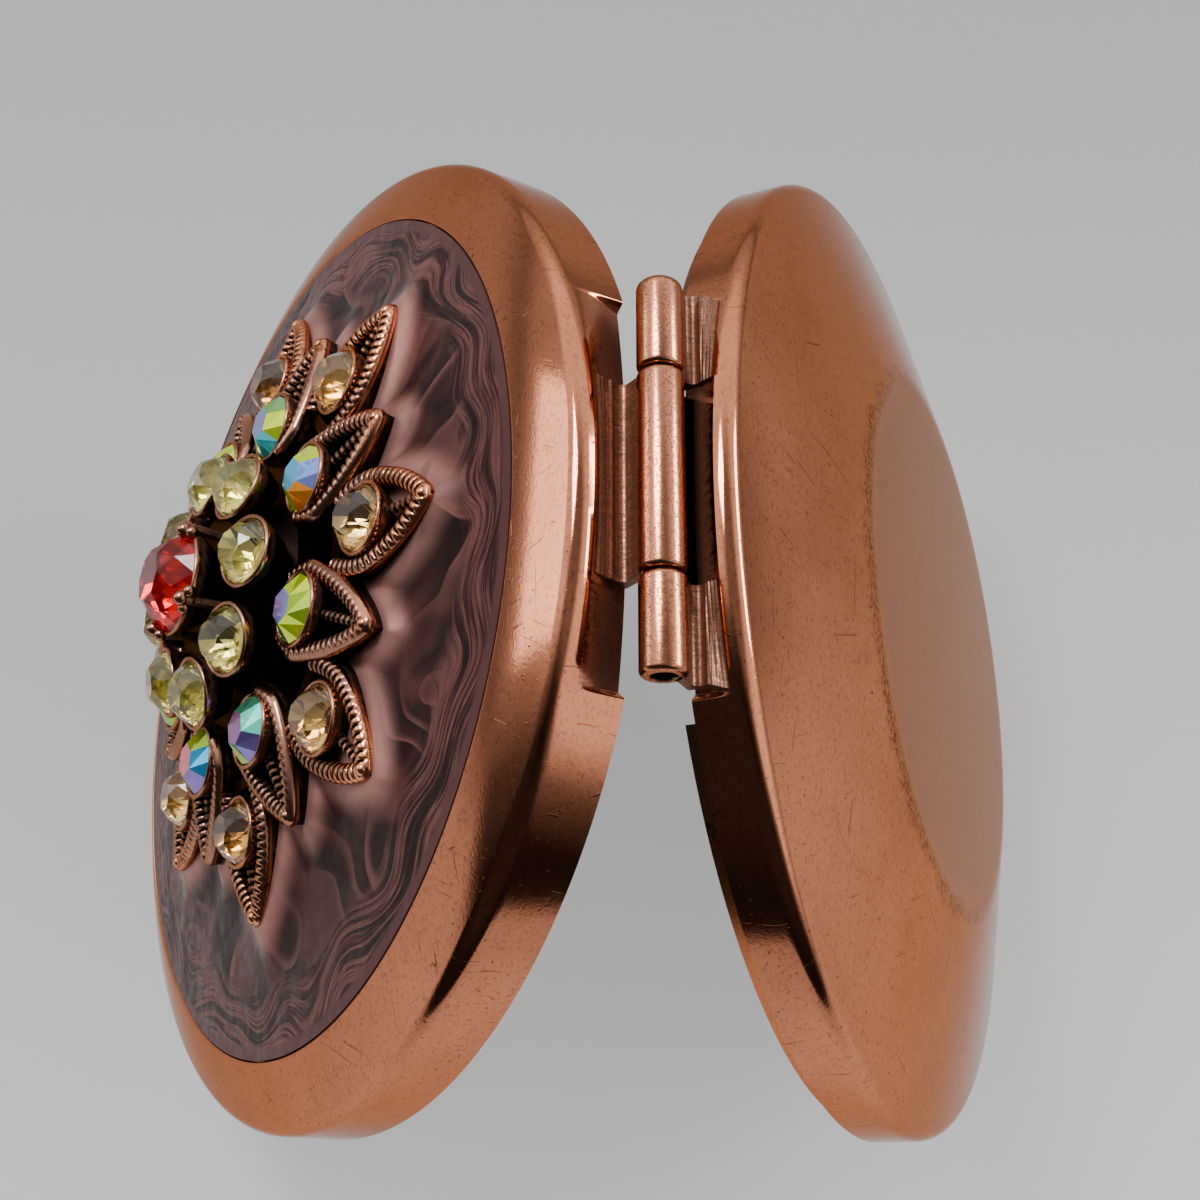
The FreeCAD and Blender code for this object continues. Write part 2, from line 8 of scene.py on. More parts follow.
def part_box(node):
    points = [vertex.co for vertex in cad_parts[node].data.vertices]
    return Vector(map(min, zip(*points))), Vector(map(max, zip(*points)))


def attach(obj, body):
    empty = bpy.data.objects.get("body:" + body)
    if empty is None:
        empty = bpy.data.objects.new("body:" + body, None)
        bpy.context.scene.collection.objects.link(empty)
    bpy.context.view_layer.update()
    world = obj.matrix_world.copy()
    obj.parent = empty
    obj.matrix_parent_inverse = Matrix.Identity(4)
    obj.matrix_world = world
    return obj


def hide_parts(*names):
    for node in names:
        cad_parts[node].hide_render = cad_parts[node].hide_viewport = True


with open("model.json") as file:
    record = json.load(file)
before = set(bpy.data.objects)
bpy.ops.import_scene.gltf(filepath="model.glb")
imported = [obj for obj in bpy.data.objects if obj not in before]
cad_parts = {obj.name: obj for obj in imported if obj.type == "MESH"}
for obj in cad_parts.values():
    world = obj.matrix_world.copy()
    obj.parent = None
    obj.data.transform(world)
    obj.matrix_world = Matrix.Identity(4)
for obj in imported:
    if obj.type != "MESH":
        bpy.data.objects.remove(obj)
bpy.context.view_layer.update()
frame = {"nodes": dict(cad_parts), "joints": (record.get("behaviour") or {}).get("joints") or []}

# A round compact mirror, standing open as a tent. Each half is drawn in millimetres in a half
# frame: Y is the hinge axis, x runs from the hinge to the front and z points out of the case.

MM = 0.001
hinge_joint = next(joint for joint in frame["joints"] if joint["name"] == "lid_hinge")
HINGE = Vector(hinge_joint["pos_m"])
half_open = math.radians(-hinge_joint["range_deg"][0]) / 2
lean = math.pi / 2 - half_open
BASE_HALF = Matrix.Translation(HINGE) @ Matrix.Rotation(lean, 4, "Y") @ Matrix.Scale(MM, 4)
LID_HALF = (Matrix.Translation(HINGE) @ Matrix.Rotation(-lean, 4, "Y")
            @ Matrix.Rotation(math.pi, 4, "Z") @ Matrix.Scale(MM, 4))


def box_middle(node):
    """The middle of a CAD node's box, in metres."""
    low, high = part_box(node)
    return (low + high) / 2


# Case, in millimetres
case_radius = (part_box("lid_shell")[1].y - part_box("lid_shell")[0].y) / MM / 2
centre_x = (BASE_HALF.inverted() @ box_middle("base_mirror")).x
shell_wall = 0.6
half_gap = 0.2
edge_round = 1.0
fit_gap = 0.05
lid_edge = 4.4
ring_width = 4.2
ring_height = 5.95
ring_lip = 0.18
ring_wall_share = 1.6
pan_depth = 0.75
base_edge = 3.45
flat_radius = 17.6
flat_height = 7.0
flat_round = 6.0
window_half = 3.75
window_low = 1.35
window_high = 2.85

# Enamel
enamel_crown = 7.3
enamel_edge = 5.85
meniscus_height = 0.5
meniscus_reach = 0.9
meniscus_power = 1.5
swell_height = 0.4
swell_reach = 2.2
meniscus_zone = 13.0
hidden_radius = 9.0
fine_radius = 9.5

# Hinge
hinge_length = 22.1
middle_knuckle = 11.2
knuckle_gap = 0.12
knuckle_radius = 1.25
knuckle_bore = 0.64
knuckle_round = 0.3
bore_chamfer = 0.1
recess_half = 11.4
recess_depth = 1.9
recess_cove = 1.35
recess_ease = 1.25
recess_curl = 2.4
recess_end = 0.3
recess_overrun_share = 0.1
recess_soil = 0.42
leaf_sheet = 0.5
leaf_low = 0.3
leaf_bend = 0.6
leaf_round_share = 0.7
leaf_foot = 0.1
leaf_tail = 0.3
leaf_back = 0.4
leaf_lap = 0.1
leaf_step = 0.14
leaf_step_half = 0.1
leaf_soil = 0.36
groove_depth = 0.025
groove_count = 4.5
dome_round = 0.6
lid_leaf_top = 2.9
base_leaf_top = 2.3
# Painted shade: behind the middle knuckle the band is painted black up to dark_top, on the base over a
# flange that reaches out under the knuckle
dark_half = 5.9
dark_fade = 0.5
dark_top = 1.0
flange_reach = 1.3

# Flower; angles round a rope are in radians, from its outer side over the top
flower_x = -0.5
flower_y = -1.25
petal_count = 8
rope_radius = 0.5
rope_flat = 1.2
rope_pitch = 0.5
rope_slant = 0.05
notch_share = 0.15
notch_depth_share = 0.34
notch_ease = 0.7
notch_fade = 3.9
notch_end = 4.6
# Painted shade: the rope's notches and its underside are painted dark
notch_shade = 1.3
rope_shade_start = 2.9
rope_shade_full = 3.8
rope_shade_end = 5.2
vein_radius = 0.33
vein_start = 0.5
bead_pitch = 0.5
bead_gap_share = 0.2
bead_gap_depth_share = 0.4
# Painted shade in the gaps between the vein's beads
bead_gap_shade = 0.7
vein_soil = 0.25
tip_bead = 0.42
tip_bead_back = 0.75
tip_bead_down = 0.22
tip_bead_squash = 0.8
wall_inset = 0.08
wall_sunk = 0.3
# Painted shade: the petal walls darken downwards and the strip into each pocket is dark
wall_shade = (0.35, 0.6, 0.85)
rim_shade = 0.8
pocket_depth = 1.7
pocket_inset_share = 1.7
pocket_floor = 0.12
pocket_taper_shares = (0.96, 0.92, 1)
cup_wall = 0.28
cup_rise = 0.15
cup_foot_share = 0.7
cup_floor = 0.12
cup_lip_inset = 0.06
cup_lip_drop = 0.35
cup_lip_round_drop = 0.04
cup_fit = 0.01
cup_seat_drop = 0.3
# Painted shade: the cups darken with depth
cup_shade = 1.3
OUTER = dict(ring=15.0, height=9.05, tilt=11.5, turn=0.0, tip=5.9, base=3.4, base_half=2.4, wide=3.2,
             straight=0.25, stone_tilt=6.0, notch_from=0.5, depth=4.0, hub_radius=12.3, hub_low=5.2,
             hub_high=8.0)
INNER = dict(ring=10.7, height=10.4, tilt=14.0, turn=0.5, tip=6.8, base=2.1, base_half=2.0, wide=3.1,
             straight=0.6, stone_tilt=3.0, notch_from=1.2, depth=2.4, hub_radius=9.3, hub_low=8.0,
             hub_high=9.4)
cluster_ring = 6.9
cluster_height = 12.6
cluster_tilt = 15.0
cluster_depth = 1.9
hub_foot = 7.0
hub_top = 4.5
hub_low = 9.4
hub_high = 12.3
setting_height = 1.9
claw_count = 4
claw_turn = 52.0
claw_radius = 0.3
claw_soil = 0.3
claw_out = 0.15
claw_bow = 0.25
claw_aside = 0.02
claw_bow_height = 0.1
claw_top = 0.6
claw_step = 0.15
claw_bead = 0.5
claw_bead_height = 0.62
claw_bead_soil = 0.1
side_bead_share = 0.8
side_bead_across = 0.55
side_bead_out = 0.1
side_bead_height = 0.3

# Stones: girdle diameters, and the cut as shares of the diameter
champagne_size = 3.9
aurora_size = 4.1
yellow_size = 4.0
centre_size = 6.3
table_share = 0.52
star_share = 0.78
crown_share = 0.29
plain_crown_share = 0.21
girdle_share = 0.04
pavilion_share = 0.24
culet_share = 0.3
facet_count = 8
plain_facet_count = 6
# How much the painted glint levels of one ring's facets differ
facet_level_spread = 0.12

# Fineness of the meshes: where turned faces end, degrees between sections and counts of points
heart_radius = 0.01
turn_slack = 0.0001
case_step = 1.5
enamel_step = 1.0
band_points = 9
edge_points = 9
lip_points = 5
end_points = 12
window_points = 4
bend_points = 5
inside_points = 7
hidden_rings = 6
enamel_rings = 120
foot_points = 16
petal_points = 24
rope_points = 40
rope_sides = 16
notch_steps = 7
strand_sides = 8
ball_rings = 8
ball_sides = 12
ball_end = 0.05
cup_sides = 40
cup_lip_points = 7
hub_sides = 48
knuckle_sides = 56
round_points = 6
dome_points = 8
leaf_rows = 15
leaf_points = 24

ring_inner = case_radius - ring_width
shell_inner = case_radius - shell_wall
enamel_radius = ring_inner - fit_gap


# Mesh building

class Shape:
    """Points and faces of one piece in a half frame, with how deep in a hollow each point lies (on the
    enamel, how near a petal), which sets oxide, painted shade and painted sheen.
    """

    def __init__(self):
        self.points = []
        self.hollow = []
        self.faces = []
        self.kinds = []
        self.facets = []
        self.count = 0

    def add_points(self, points, hollow):
        """Adds points and returns the number of the first."""
        points = np.asarray(points, float).reshape(-1, 3)
        first = self.count
        self.points.append(points)
        self.hollow.append(np.broadcast_to(np.asarray(hollow, float).ravel(), len(points)))
        self.count += len(points)
        return first

    def add_faces(self, faces, kind=0, facets=None):
        """Adds faces with one kind of material, and for each facet of a stone a level that its material
        paints as a glint or a coloured reflection.
        """
        self.faces.extend(faces)
        self.kinds.extend([kind] * len(faces))
        self.facets.extend([0.0] * len(faces) if facets is None else facets)

    def add_grid(self, grid, hollow, closed_rows=False, closed_columns=False):
        """A grid of points, rows by columns by 3, joined by four sided faces."""
        rows, columns = grid.shape[:2]
        first = self.add_points(grid, hollow)
        faces = []
        for i in range(rows if closed_rows else rows - 1):
            for j in range(columns if closed_columns else columns - 1):
                below, beside = (i + 1) % rows, (j + 1) % columns
                faces.append((first + i * columns + j, first + i * columns + beside,
                              first + below * columns + beside, first + below * columns + j))
        self.add_faces(faces)

    def add_loop(self, points, hollow):
        """One flat face round a loop of points."""
        first = self.add_points(points, hollow)
        self.add_faces([tuple(range(first, self.count))])


def moved(points, place):
    """Points of any shape through a 4 by 4 place."""
    place = np.array(place)
    return np.asarray(points) @ place[:3, :3].T + place[:3, 3]


def add_piece(name, shape, half, body, materials, nodes, sharp_angle=35.0):
    """Makes one piece of a shape drawn in a half frame, riding a body in place of CAD nodes."""
    points = np.concatenate(shape.points)
    mesh = bpy.data.meshes.new(name)
    mesh.from_pydata(moved(points, half).tolist(), [], shape.faces)
    mesh.polygons.foreach_set("use_smooth", [True] * len(mesh.polygons))
    mesh.polygons.foreach_set("material_index", shape.kinds)
    drawn = mesh.attributes.new("drawn", "FLOAT_VECTOR", "POINT")
    drawn.data.foreach_set("vector", (points - [centre_x, 0, 0]).ravel())
    hollow = mesh.attributes.new("hollow", "FLOAT", "POINT")
    hollow.data.foreach_set("value", np.concatenate(shape.hollow))
    facet = mesh.attributes.new("facet", "FLOAT", "FACE")
    facet.data.foreach_set("value", shape.facets)
    mesh.validate()
    mesh.set_sharp_from_angle(angle=math.radians(sharp_angle))
    for material in materials:
        mesh.materials.append(material)
    piece = bpy.data.objects.new(name, mesh)
    bpy.context.scene.collection.objects.link(piece)
    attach(piece, body)
    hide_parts(*nodes)


def arc(centre, radius, start, end, count):
    """Points of an arc in a section, angles in degrees."""
    angles = np.radians(np.linspace(start, end, count))
    return [(centre[0] + radius * math.cos(a), centre[1] + radius * math.sin(a)) for a in angles]


def rounded(before, corner, after, radius, count):
    """Points that round the corner of a section."""
    before, corner, after = (np.array(p, float) for p in (before, corner, after))
    back = (before - corner) / np.linalg.norm(before - corner)
    ahead = (after - corner) / np.linalg.norm(after - corner)
    half_angle = math.acos(np.clip(back @ ahead, -1, 1)) / 2
    reach = radius / math.tan(half_angle)
    inward = (back + ahead) / np.linalg.norm(back + ahead)
    centre = corner + inward * radius / math.sin(half_angle)
    start, end = corner + back * reach - centre, corner + ahead * reach - centre
    angle = math.atan2(start[0] * end[1] - start[1] * end[0], start @ end)
    points = []
    for share in np.linspace(0, 1, count):
        c, s = math.cos(angle * share), math.sin(angle * share)
        points.append((centre[0] + c * start[0] - s * start[1], centre[1] + s * start[0] + c * start[1]))
    return points


def smooth_step(low, high, value):
    """0 up to low and 1 from high on, with a soft change between them."""
    share = np.clip((value - low) / (high - low), 0, 1)
    return share * share * (3 - 2 * share)


# Shells

def case_angles():
    """Angles round the case, closer where the hinge hollow ends."""
    regular = np.radians(np.arange(0, 360, case_step))
    shares = np.linspace(-recess_overrun_share, 1, end_points)
    ends = [recess_half - share * recess_end for share in shares]
    ends += [dark_half - dark_fade, dark_half]
    hinge_side = [math.pi + side * math.asin(y / case_radius) for y in ends for side in (-1, 1)]
    window_turn = math.asin(window_half / case_radius)
    window_sides = [window_turn, 2 * math.pi - window_turn]
    return np.unique(np.round(np.concatenate([regular, hinge_side, window_sides]), 6))


def revolve(shape, sections, angles, hollow):
    """A surface round the case from one section, a row of (radius, height), for each angle."""
    radius, height = sections[..., 0], sections[..., 1]
    turn = angles[:, None]
    grid = np.stack([centre_x + radius * np.cos(turn), radius * np.sin(turn), height], axis=-1)
    shape.add_grid(grid, hollow, closed_rows=True)


def wall_share(height, edge_height):
    """How far the hinge hollow is pressed in at a height: all at the rim, nothing at the edge."""
    top = edge_height - edge_round
    down = np.clip((top - np.asarray(height)) / (top - half_gap), 0, 1)
    return 1 - (1 - down) ** recess_cove


def hollow_depth(across, height, edge_height):
    """Depth of the hinge hollow: most in the middle of the hinge, a low curl at its ends."""
    outward = np.minimum(across / recess_half, 1) ** 2
    inside = 1 - smooth_step(recess_half - recess_end, recess_half, across)
    share = wall_share(height, edge_height)
    share = share + outward * (share ** recess_curl - share)
    return (recess_depth - recess_ease * outward) * inside * share


def pressed_in(sections, angles, edge_height):
    """Presses the hinge hollow into the sections of a band."""
    across = np.abs(case_radius * np.sin(angles))[:, None]
    hinge_side = (np.cos(angles) < 0)[:, None]
    pressed = sections.copy()
    pressed[..., 0] -= hinge_side * hollow_depth(across, sections[..., 1], edge_height)
    return pressed


def shell_shape(outer_band, outer_top, inner, edge_height, flange):
    """A pressed shell: outer band, outer top to the middle, and the inside, as one closed skin."""
    angles = case_angles()
    count = len(angles)
    band = np.repeat(np.array(outer_band, float)[None], count, axis=0)
    top = np.repeat(np.array(outer_top, float)[None], count, axis=0)
    inside = np.repeat(np.array(inner, float)[None], count, axis=0)
    band = pressed_in(band, angles, edge_height)
    inside = pressed_in(inside, angles, edge_height)
    across = np.abs(case_radius * np.sin(angles))
    hinge_side = np.cos(angles) < 0
    # Painted shade: behind the middle knuckle the band is painted black low down, where it lies in deep
    # shade, and on the base pushed out into a flange under the knuckle
    behind = hinge_side * (1 - smooth_step(dark_half - dark_fade, dark_half, across))
    in_hollow = hinge_side * (1 - smooth_step(recess_half - recess_end, recess_half, across))
    band[:, 0, 0] += flange * behind
    sections = np.concatenate([band, top, inside, band[:, :1]], axis=1)
    hollow = np.zeros(sections.shape[:2])
    for k in range(len(outer_band)):
        height = outer_band[k][1]
        dull = recess_soil * in_hollow * math.sqrt(wall_share(height, edge_height))
        hollow[:, k] = np.maximum(dull, behind * smooth_step(dark_top, dark_top / 2, height))
    shape = Shape()
    revolve(shape, sections, angles, hollow)
    return shape


def grid_face(columns, *places):
    """A face of a grid that starts at point 0, through places given as (row, column)."""
    return tuple(int(row * columns + column) for row, column in places)


def cut_window(shape, angles, columns, outer, inner):
    """Cuts the button's window through the front of a shell, between columns of its grid."""
    signed = (angles + math.pi) % (2 * math.pi) - math.pi
    half_turn = math.asin(window_half / case_radius) + turn_slack
    turns = np.flatnonzero(np.abs(signed) <= half_turn)
    turns = turns[np.argsort(signed[turns])]
    opened = [*range(*outer), *range(*inner)]
    gone = {i * (columns - 1) + j for i in turns[:-1] for j in opened}
    kept = [face for k, face in enumerate(shape.faces) if k not in gone]
    (outer_low, outer_high), (inner_high, inner_low) = outer, inner
    walls = []
    for i, after in zip(turns, turns[1:]):
        walls.append(grid_face(columns, (after, outer_low), (i, outer_low), (i, inner_low),
                               (after, inner_low)))
        walls.append(grid_face(columns, (i, outer_high), (after, outer_high), (after, inner_high),
                               (i, inner_high)))
    side = [*range(outer_low, outer_high + 1), *range(inner_high, inner_low + 1)]
    walls.append(grid_face(columns, *[(turns[0], j) for j in side]))
    walls.append(grid_face(columns, *[(turns[-1], j) for j in reversed(side)]))
    shape.faces, shape.kinds, shape.facets = [], [], []
    shape.add_faces(kept + walls)


def lid_shell(material):
    """The lid's shell: band, rounded edge, sloped ring and the pan that holds the enamel."""
    edge, ring = (case_radius, lid_edge), (ring_inner, ring_height)
    band_top = lid_edge - edge_round
    band = [(case_radius, z) for z in np.linspace(half_gap, band_top, band_points)]
    pan_floor = ring_height - pan_depth
    pan = (ring_inner, pan_floor)
    top = rounded((case_radius, half_gap), edge, ring, edge_round, edge_points)
    top += rounded(edge, ring, pan, ring_lip, lip_points) + [pan, (heart_radius, pan_floor)]
    under = pan_floor - shell_wall
    step = ring_inner + shell_wall
    inner = [(heart_radius, under), (step, under), (step, ring_height - shell_wall * ring_wall_share),
             (shell_inner, lid_edge - shell_wall)]
    inner += [(shell_inner, z) for z in np.linspace(band_top - shell_wall, half_gap, inside_points)]
    shape = shell_shape(band, top, inner, lid_edge, 0.0)
    add_piece("lid_shell_skin", shape, LID_HALF, "lid", [material], ["lid_shell"])


def base_shell(material):
    """The base's shell: band with the button's window, rounded edge, wide slope and flat middle."""
    edge, flat = (case_radius, base_edge), (flat_radius, flat_height)
    band_top = base_edge - edge_round
    below_window = np.linspace(half_gap, window_low, window_points)
    beside_window = np.linspace(window_low, band_top, window_points)
    heights = np.concatenate([below_window, beside_window[1:]])
    band = [(case_radius, z) for z in heights]
    top = rounded((case_radius, half_gap), edge, flat, edge_round, edge_points)
    top += rounded(edge, flat, (0, flat_height), flat_round, edge_points) + [(heart_radius, flat_height)]
    under = flat_height - shell_wall
    inner_edge = (shell_inner, base_edge - shell_wall)
    inner = [(heart_radius, under)]
    inner += rounded((0, under), (flat_radius, under), inner_edge, flat_round, bend_points)
    inner += [inner_edge] + [(shell_inner, z) for z in reversed(heights[:-1])]
    # The flange under the middle knuckle is painted black as shade
    shape = shell_shape(band, top, inner, base_edge, flange_reach)
    section = np.array(band + top + inner)
    edge_end = len(band) + edge_points
    inner_start = len(band + top) + inner.index(inner_edge)
    near_low = np.abs(section[:, 1] - window_low)
    near_high = np.abs(section[:, 1] - window_high)
    outer_side = (near_low[:edge_end].argmin(), near_high[:edge_end].argmin())
    inner_high, inner_low = near_high[inner_start:].argmin(), near_low[inner_start:].argmin()
    inner_side = (inner_start + inner_high, inner_start + inner_low)
    cut_window(shape, case_angles(), len(section) + 1, outer_side, inner_side)
    add_piece("base_shell_skin", shape, BASE_HALF, "base", [material], ["base_shell"])


# Enamel

def enamel_height(radius):
    """Height of the domed enamel at a radius of the case."""
    rise = enamel_crown - enamel_edge
    sphere = (enamel_radius ** 2 + rise ** 2) / (2 * rise)
    return enamel_crown - sphere + np.sqrt(np.maximum(sphere ** 2 - np.square(radius), 0))


def distance_to_line(points, line):
    """Distance of points from a closed line in the plane, negative inside."""
    start, end = line, np.roll(line, -1, axis=0)
    along = end - start
    apart = points[:, None] - start[None]
    share = np.clip((apart * along).sum(-1) / (along ** 2).sum(-1), 0, 1)
    near = np.linalg.norm(apart - share[..., None] * along, axis=-1).min(1)
    crosses = (start[:, 1] > points[:, None, 1]) != (end[:, 1] > points[:, None, 1])
    rise = np.where(along[:, 1] == 0, 1e-9, along[:, 1])
    reach = start[:, 0] + along[:, 0] * (points[:, None, 1] - start[:, 1]) / rise
    inside = (crosses & (points[:, None, 0] < reach)).sum(1) % 2 == 1
    return np.where(inside, -near, near)


def enamel_panel(material):
    """The domed panel, drawn up where it wets the walls of the petals."""
    hidden = np.linspace(2 * heart_radius, hidden_radius, hidden_rings)
    radii = np.concatenate([hidden, np.linspace(fine_radius, enamel_radius, enamel_rings)])
    turns = np.radians(np.arange(0, 360, enamel_step))
    radius, turn = np.meshgrid(radii, turns)
    flat = np.stack([centre_x + radius * np.cos(turn), radius * np.sin(turn)], axis=-1).reshape(-1, 2)
    rise = np.zeros(len(flat))
    for petal in (OUTER, INNER):
        for place in ring_places(petal):
            foot = moved(petal_line(petal, 0, foot_points), place)[:, :2]
            close = np.linalg.norm(flat - foot.mean(0), axis=1) < meniscus_zone
            gap = np.maximum(distance_to_line(flat[close], foot), 0)
            drawn_up = meniscus_height * np.exp(-((gap / meniscus_reach) ** meniscus_power))
            drawn_up += swell_height * np.exp(-((gap / swell_reach) ** 2))
            rise[close] = np.maximum(rise[close], drawn_up)
    height = enamel_height(radius) + rise.reshape(radius.shape)
    grid = np.concatenate([flat.reshape(*radius.shape, 2), height[..., None]], axis=-1)
    rim = grid[:, -1:].copy()
    rim[..., 2] = ring_height - pan_depth
    heart = grid[:, :1].copy()
    heart[..., 2] = ring_height - pan_depth
    # How near each point lies to a petal, kept as its hollow value; the enamel's material paints a sheen
    # there
    near_petal = np.pad(rise.reshape(radius.shape) / (meniscus_height + swell_height), ((0, 0), (1, 2)))
    skin = np.concatenate([heart, grid, rim, heart], axis=1)
    shape = Shape()
    shape.add_grid(skin, near_petal, closed_rows=True)
    add_piece("enamel_skin", shape, LID_HALF, "lid", [material], ["enamel_panel"],
              sharp_angle=50)


# Flower

def flower_place(angle, ring, height, tilt):
    """The own frame of a petal or a stone, in the lid's half frame."""
    return (Matrix.Translation((centre_x + flower_x, flower_y, height))
            @ Matrix.Rotation(math.radians(angle), 4, "Z") @ Matrix.Translation((ring, 0, 0))
            @ Matrix.Rotation(math.radians(tilt), 4, "Y"))


def ring_places(petal, tilt="tilt"):
    """The places of the petals of a ring, or with their stone_tilt those of its stones."""
    pitch = 360 / petal_count
    return [flower_place((i + petal["turn"]) * pitch, petal["ring"], petal["height"], petal[tilt])
            for i in range(petal_count)]


def petal_side(petal, inset, count):
    """One side of a petal from its foot to its tip, on the arc through its widest point."""
    foot = np.array([-petal["base"], -petal["base_half"]])
    wide = np.array([0, -petal["wide"]])
    tip = np.array([petal["tip"], 0])
    system = 2 * np.array([wide - foot, tip - foot])
    centre = np.linalg.solve(system, [wide @ wide - foot @ foot, tip @ tip - foot @ foot])
    radius = np.linalg.norm(tip - centre) - inset
    start = -math.acos(np.clip((inset - petal["base"] - centre[0]) / radius, -1, 1))
    end = -math.asin(np.clip(centre[1] / radius, -1, 1))
    angles = np.linspace(start, end, count)
    x, y = centre[0] + radius * np.cos(angles), centre[1] + radius * np.sin(angles)
    straight = (inset - petal["wide"]) * (1 - x / x[-1])
    y = np.where(x > 0, y + petal["straight"] * (straight - y), y)
    return np.stack([x, y, np.zeros(count)], axis=-1)


def petal_line(petal, inset, count):
    """Both sides of a petal, from foot round the tip to foot."""
    side = petal_side(petal, inset, count)
    other = side[::-1][1:] * [1, -1, 1]
    return np.concatenate([side, other])


def along_line(line):
    """Distance of each point of a line from its start."""
    return np.concatenate([[0], np.cumsum(np.linalg.norm(np.diff(line, axis=0), axis=1))])


def evenly(line, step):
    """The line again with points a step apart."""
    length = along_line(line)
    marks = np.linspace(0, length[-1], max(int(length[-1] / step), 2) + 1)
    return np.stack([np.interp(marks, length, line[:, k]) for k in range(3)], axis=-1)


def wire(shape, path, radius, place, hollow, sides, flat=1.0):
    """A wire along a path that lies nearly flat; radius may differ for each point and side."""
    along = np.gradient(path, axis=0)
    along /= np.linalg.norm(along, axis=1, keepdims=True)
    beside = np.cross(along, [0, 0, 1])
    beside /= np.linalg.norm(beside, axis=1, keepdims=True)
    over = np.cross(beside, along)
    turn = np.linspace(0, 2 * np.pi, sides, endpoint=False)
    radius = np.broadcast_to(radius, (len(path), sides))
    grid = path[:, None] + radius[..., None] * (flat * np.cos(turn)[None, :, None] * beside[:, None]
                                                + np.sin(turn)[None, :, None] * over[:, None])
    grid = moved(grid, place)
    hollow = np.broadcast_to(hollow, (len(path), sides))
    shape.add_grid(grid, hollow, closed_columns=True)
    shape.add_loop(grid[0][::-1], hollow[0])
    shape.add_loop(grid[-1], hollow[-1])


def notches(marks, pitch, width_share):
    """1 in the middle of each notch of a rope, falling to 0 beside it."""
    phase = np.abs((marks / pitch) % 1 - 0.5)
    return np.exp(-((phase / width_share) ** 2))


def rope_rim(shape, petal, place):
    """The notched wire along a petal's rim: smooth outside, notched over the top and inside, with its
    notches and underside painted dark as shade.
    """
    path = evenly(petal_line(petal, rope_flat * rope_radius, rope_points), rope_pitch / notch_steps)
    path[:, 2] = -rope_radius
    turn = np.linspace(0, 2 * np.pi, rope_sides, endpoint=False)
    slant = turn[None] * rope_slant
    groove = notches(along_line(path)[:, None] + slant, rope_pitch, notch_share)
    notch_from = petal["notch_from"]
    inside = smooth_step(notch_from, notch_from + notch_ease, turn)
    inside *= 1 - smooth_step(notch_fade, notch_end, turn)
    cut = groove * inside[None]
    under = smooth_step(rope_shade_start, rope_shade_full, turn)[None] * (turn < rope_shade_end)
    shade = np.maximum(notch_shade * cut, under)
    wire(shape, path, rope_radius * (1 - notch_depth_share * cut), place, shade, rope_sides, rope_flat)


def beaded_vein(shape, petal, stone_radius, place):
    """The beaded strand from a stone's cup to the petal's tip, with the gaps between beads painted dark
    as shade.
    """
    start, end = stone_radius, petal["tip"] - 2 * rope_radius
    line = np.array([[start, 0, -vein_start], [end, 0, -rope_radius]])
    path = evenly(line, bead_pitch / notch_steps)
    gap = notches(along_line(path), bead_pitch, bead_gap_share)[:, None]
    radius = vein_radius * (1 - bead_gap_depth_share * gap)
    wire(shape, path, radius, place, vein_soil + bead_gap_shade * gap, strand_sides)


def ball(shape, centre, radius, place, hollow=0.0, squash=1.0):
    """A small cast bead."""
    tilt = np.linspace(ball_end, np.pi - ball_end, ball_rings)[:, None]
    turn = np.linspace(0, 2 * np.pi, ball_sides, endpoint=False)[None]
    grid = np.stack([radius * np.sin(tilt) * np.cos(turn), radius * np.sin(tilt) * np.sin(turn),
                     squash * radius * np.cos(tilt) * np.ones_like(turn)], axis=-1) + np.array(centre)
    grid = moved(grid, place)
    shape.add_grid(grid, hollow, closed_columns=True)
    shape.add_loop(grid[0][::-1], hollow)
    shape.add_loop(grid[-1], hollow)


def turned(section, sides):
    """A grid round the z axis from a section of (radius, height)."""
    section = np.array(section)
    turn = np.linspace(0, 2 * np.pi, sides, endpoint=False)[:, None]
    return np.stack([section[:, 0] * np.cos(turn), section[:, 0] * np.sin(turn),
                     section[:, 1] * np.ones_like(turn)], axis=-1)


def stone_cup(shape, stone_radius, depth, place):
    """A thin conical cup with a rounded lip round a stone, painted darker with depth as shade."""
    foot, lip = stone_radius * cup_foot_share, stone_radius + cup_wall
    floor = cup_floor - depth
    lip_middle = (stone_radius + cup_wall / 2, cup_rise - cup_lip_round_drop)
    section = [(heart_radius, -depth), (foot, -depth), (lip - cup_lip_inset, cup_rise - cup_lip_drop)]
    section += arc(lip_middle, cup_wall / 2, 0, 180, cup_lip_points)
    section += [(stone_radius + cup_fit, cup_rise - cup_seat_drop), (foot, floor), (heart_radius, floor)]
    grid = turned(section, cup_sides)
    depth_share = np.clip((cup_rise - grid[..., 2]) / (depth + cup_rise), 0, 1)
    hollow = np.minimum(depth_share * cup_shade, 1)
    shape.add_grid(moved(grid, place), hollow, closed_rows=True, closed_columns=True)


def fan(shape, ring):
    """Closes a ring of points at the bottom of a hollow with triangles to its middle, painted black as
    shade.
    """
    count = len(ring)
    first = shape.add_points(np.concatenate([ring, ring.mean(0)[None]]), 1.0)
    shape.add_faces([(first + i, first + (i + 1) % count, first + count) for i in range(count)])


def above_enamel(points, clearance):
    """Points, none of them lower than the enamel plus a clearance."""
    ground = enamel_height(np.hypot(points[:, 0] - centre_x, points[:, 1])) + clearance
    points[:, 2] = np.maximum(points[:, 2], ground)
    return points


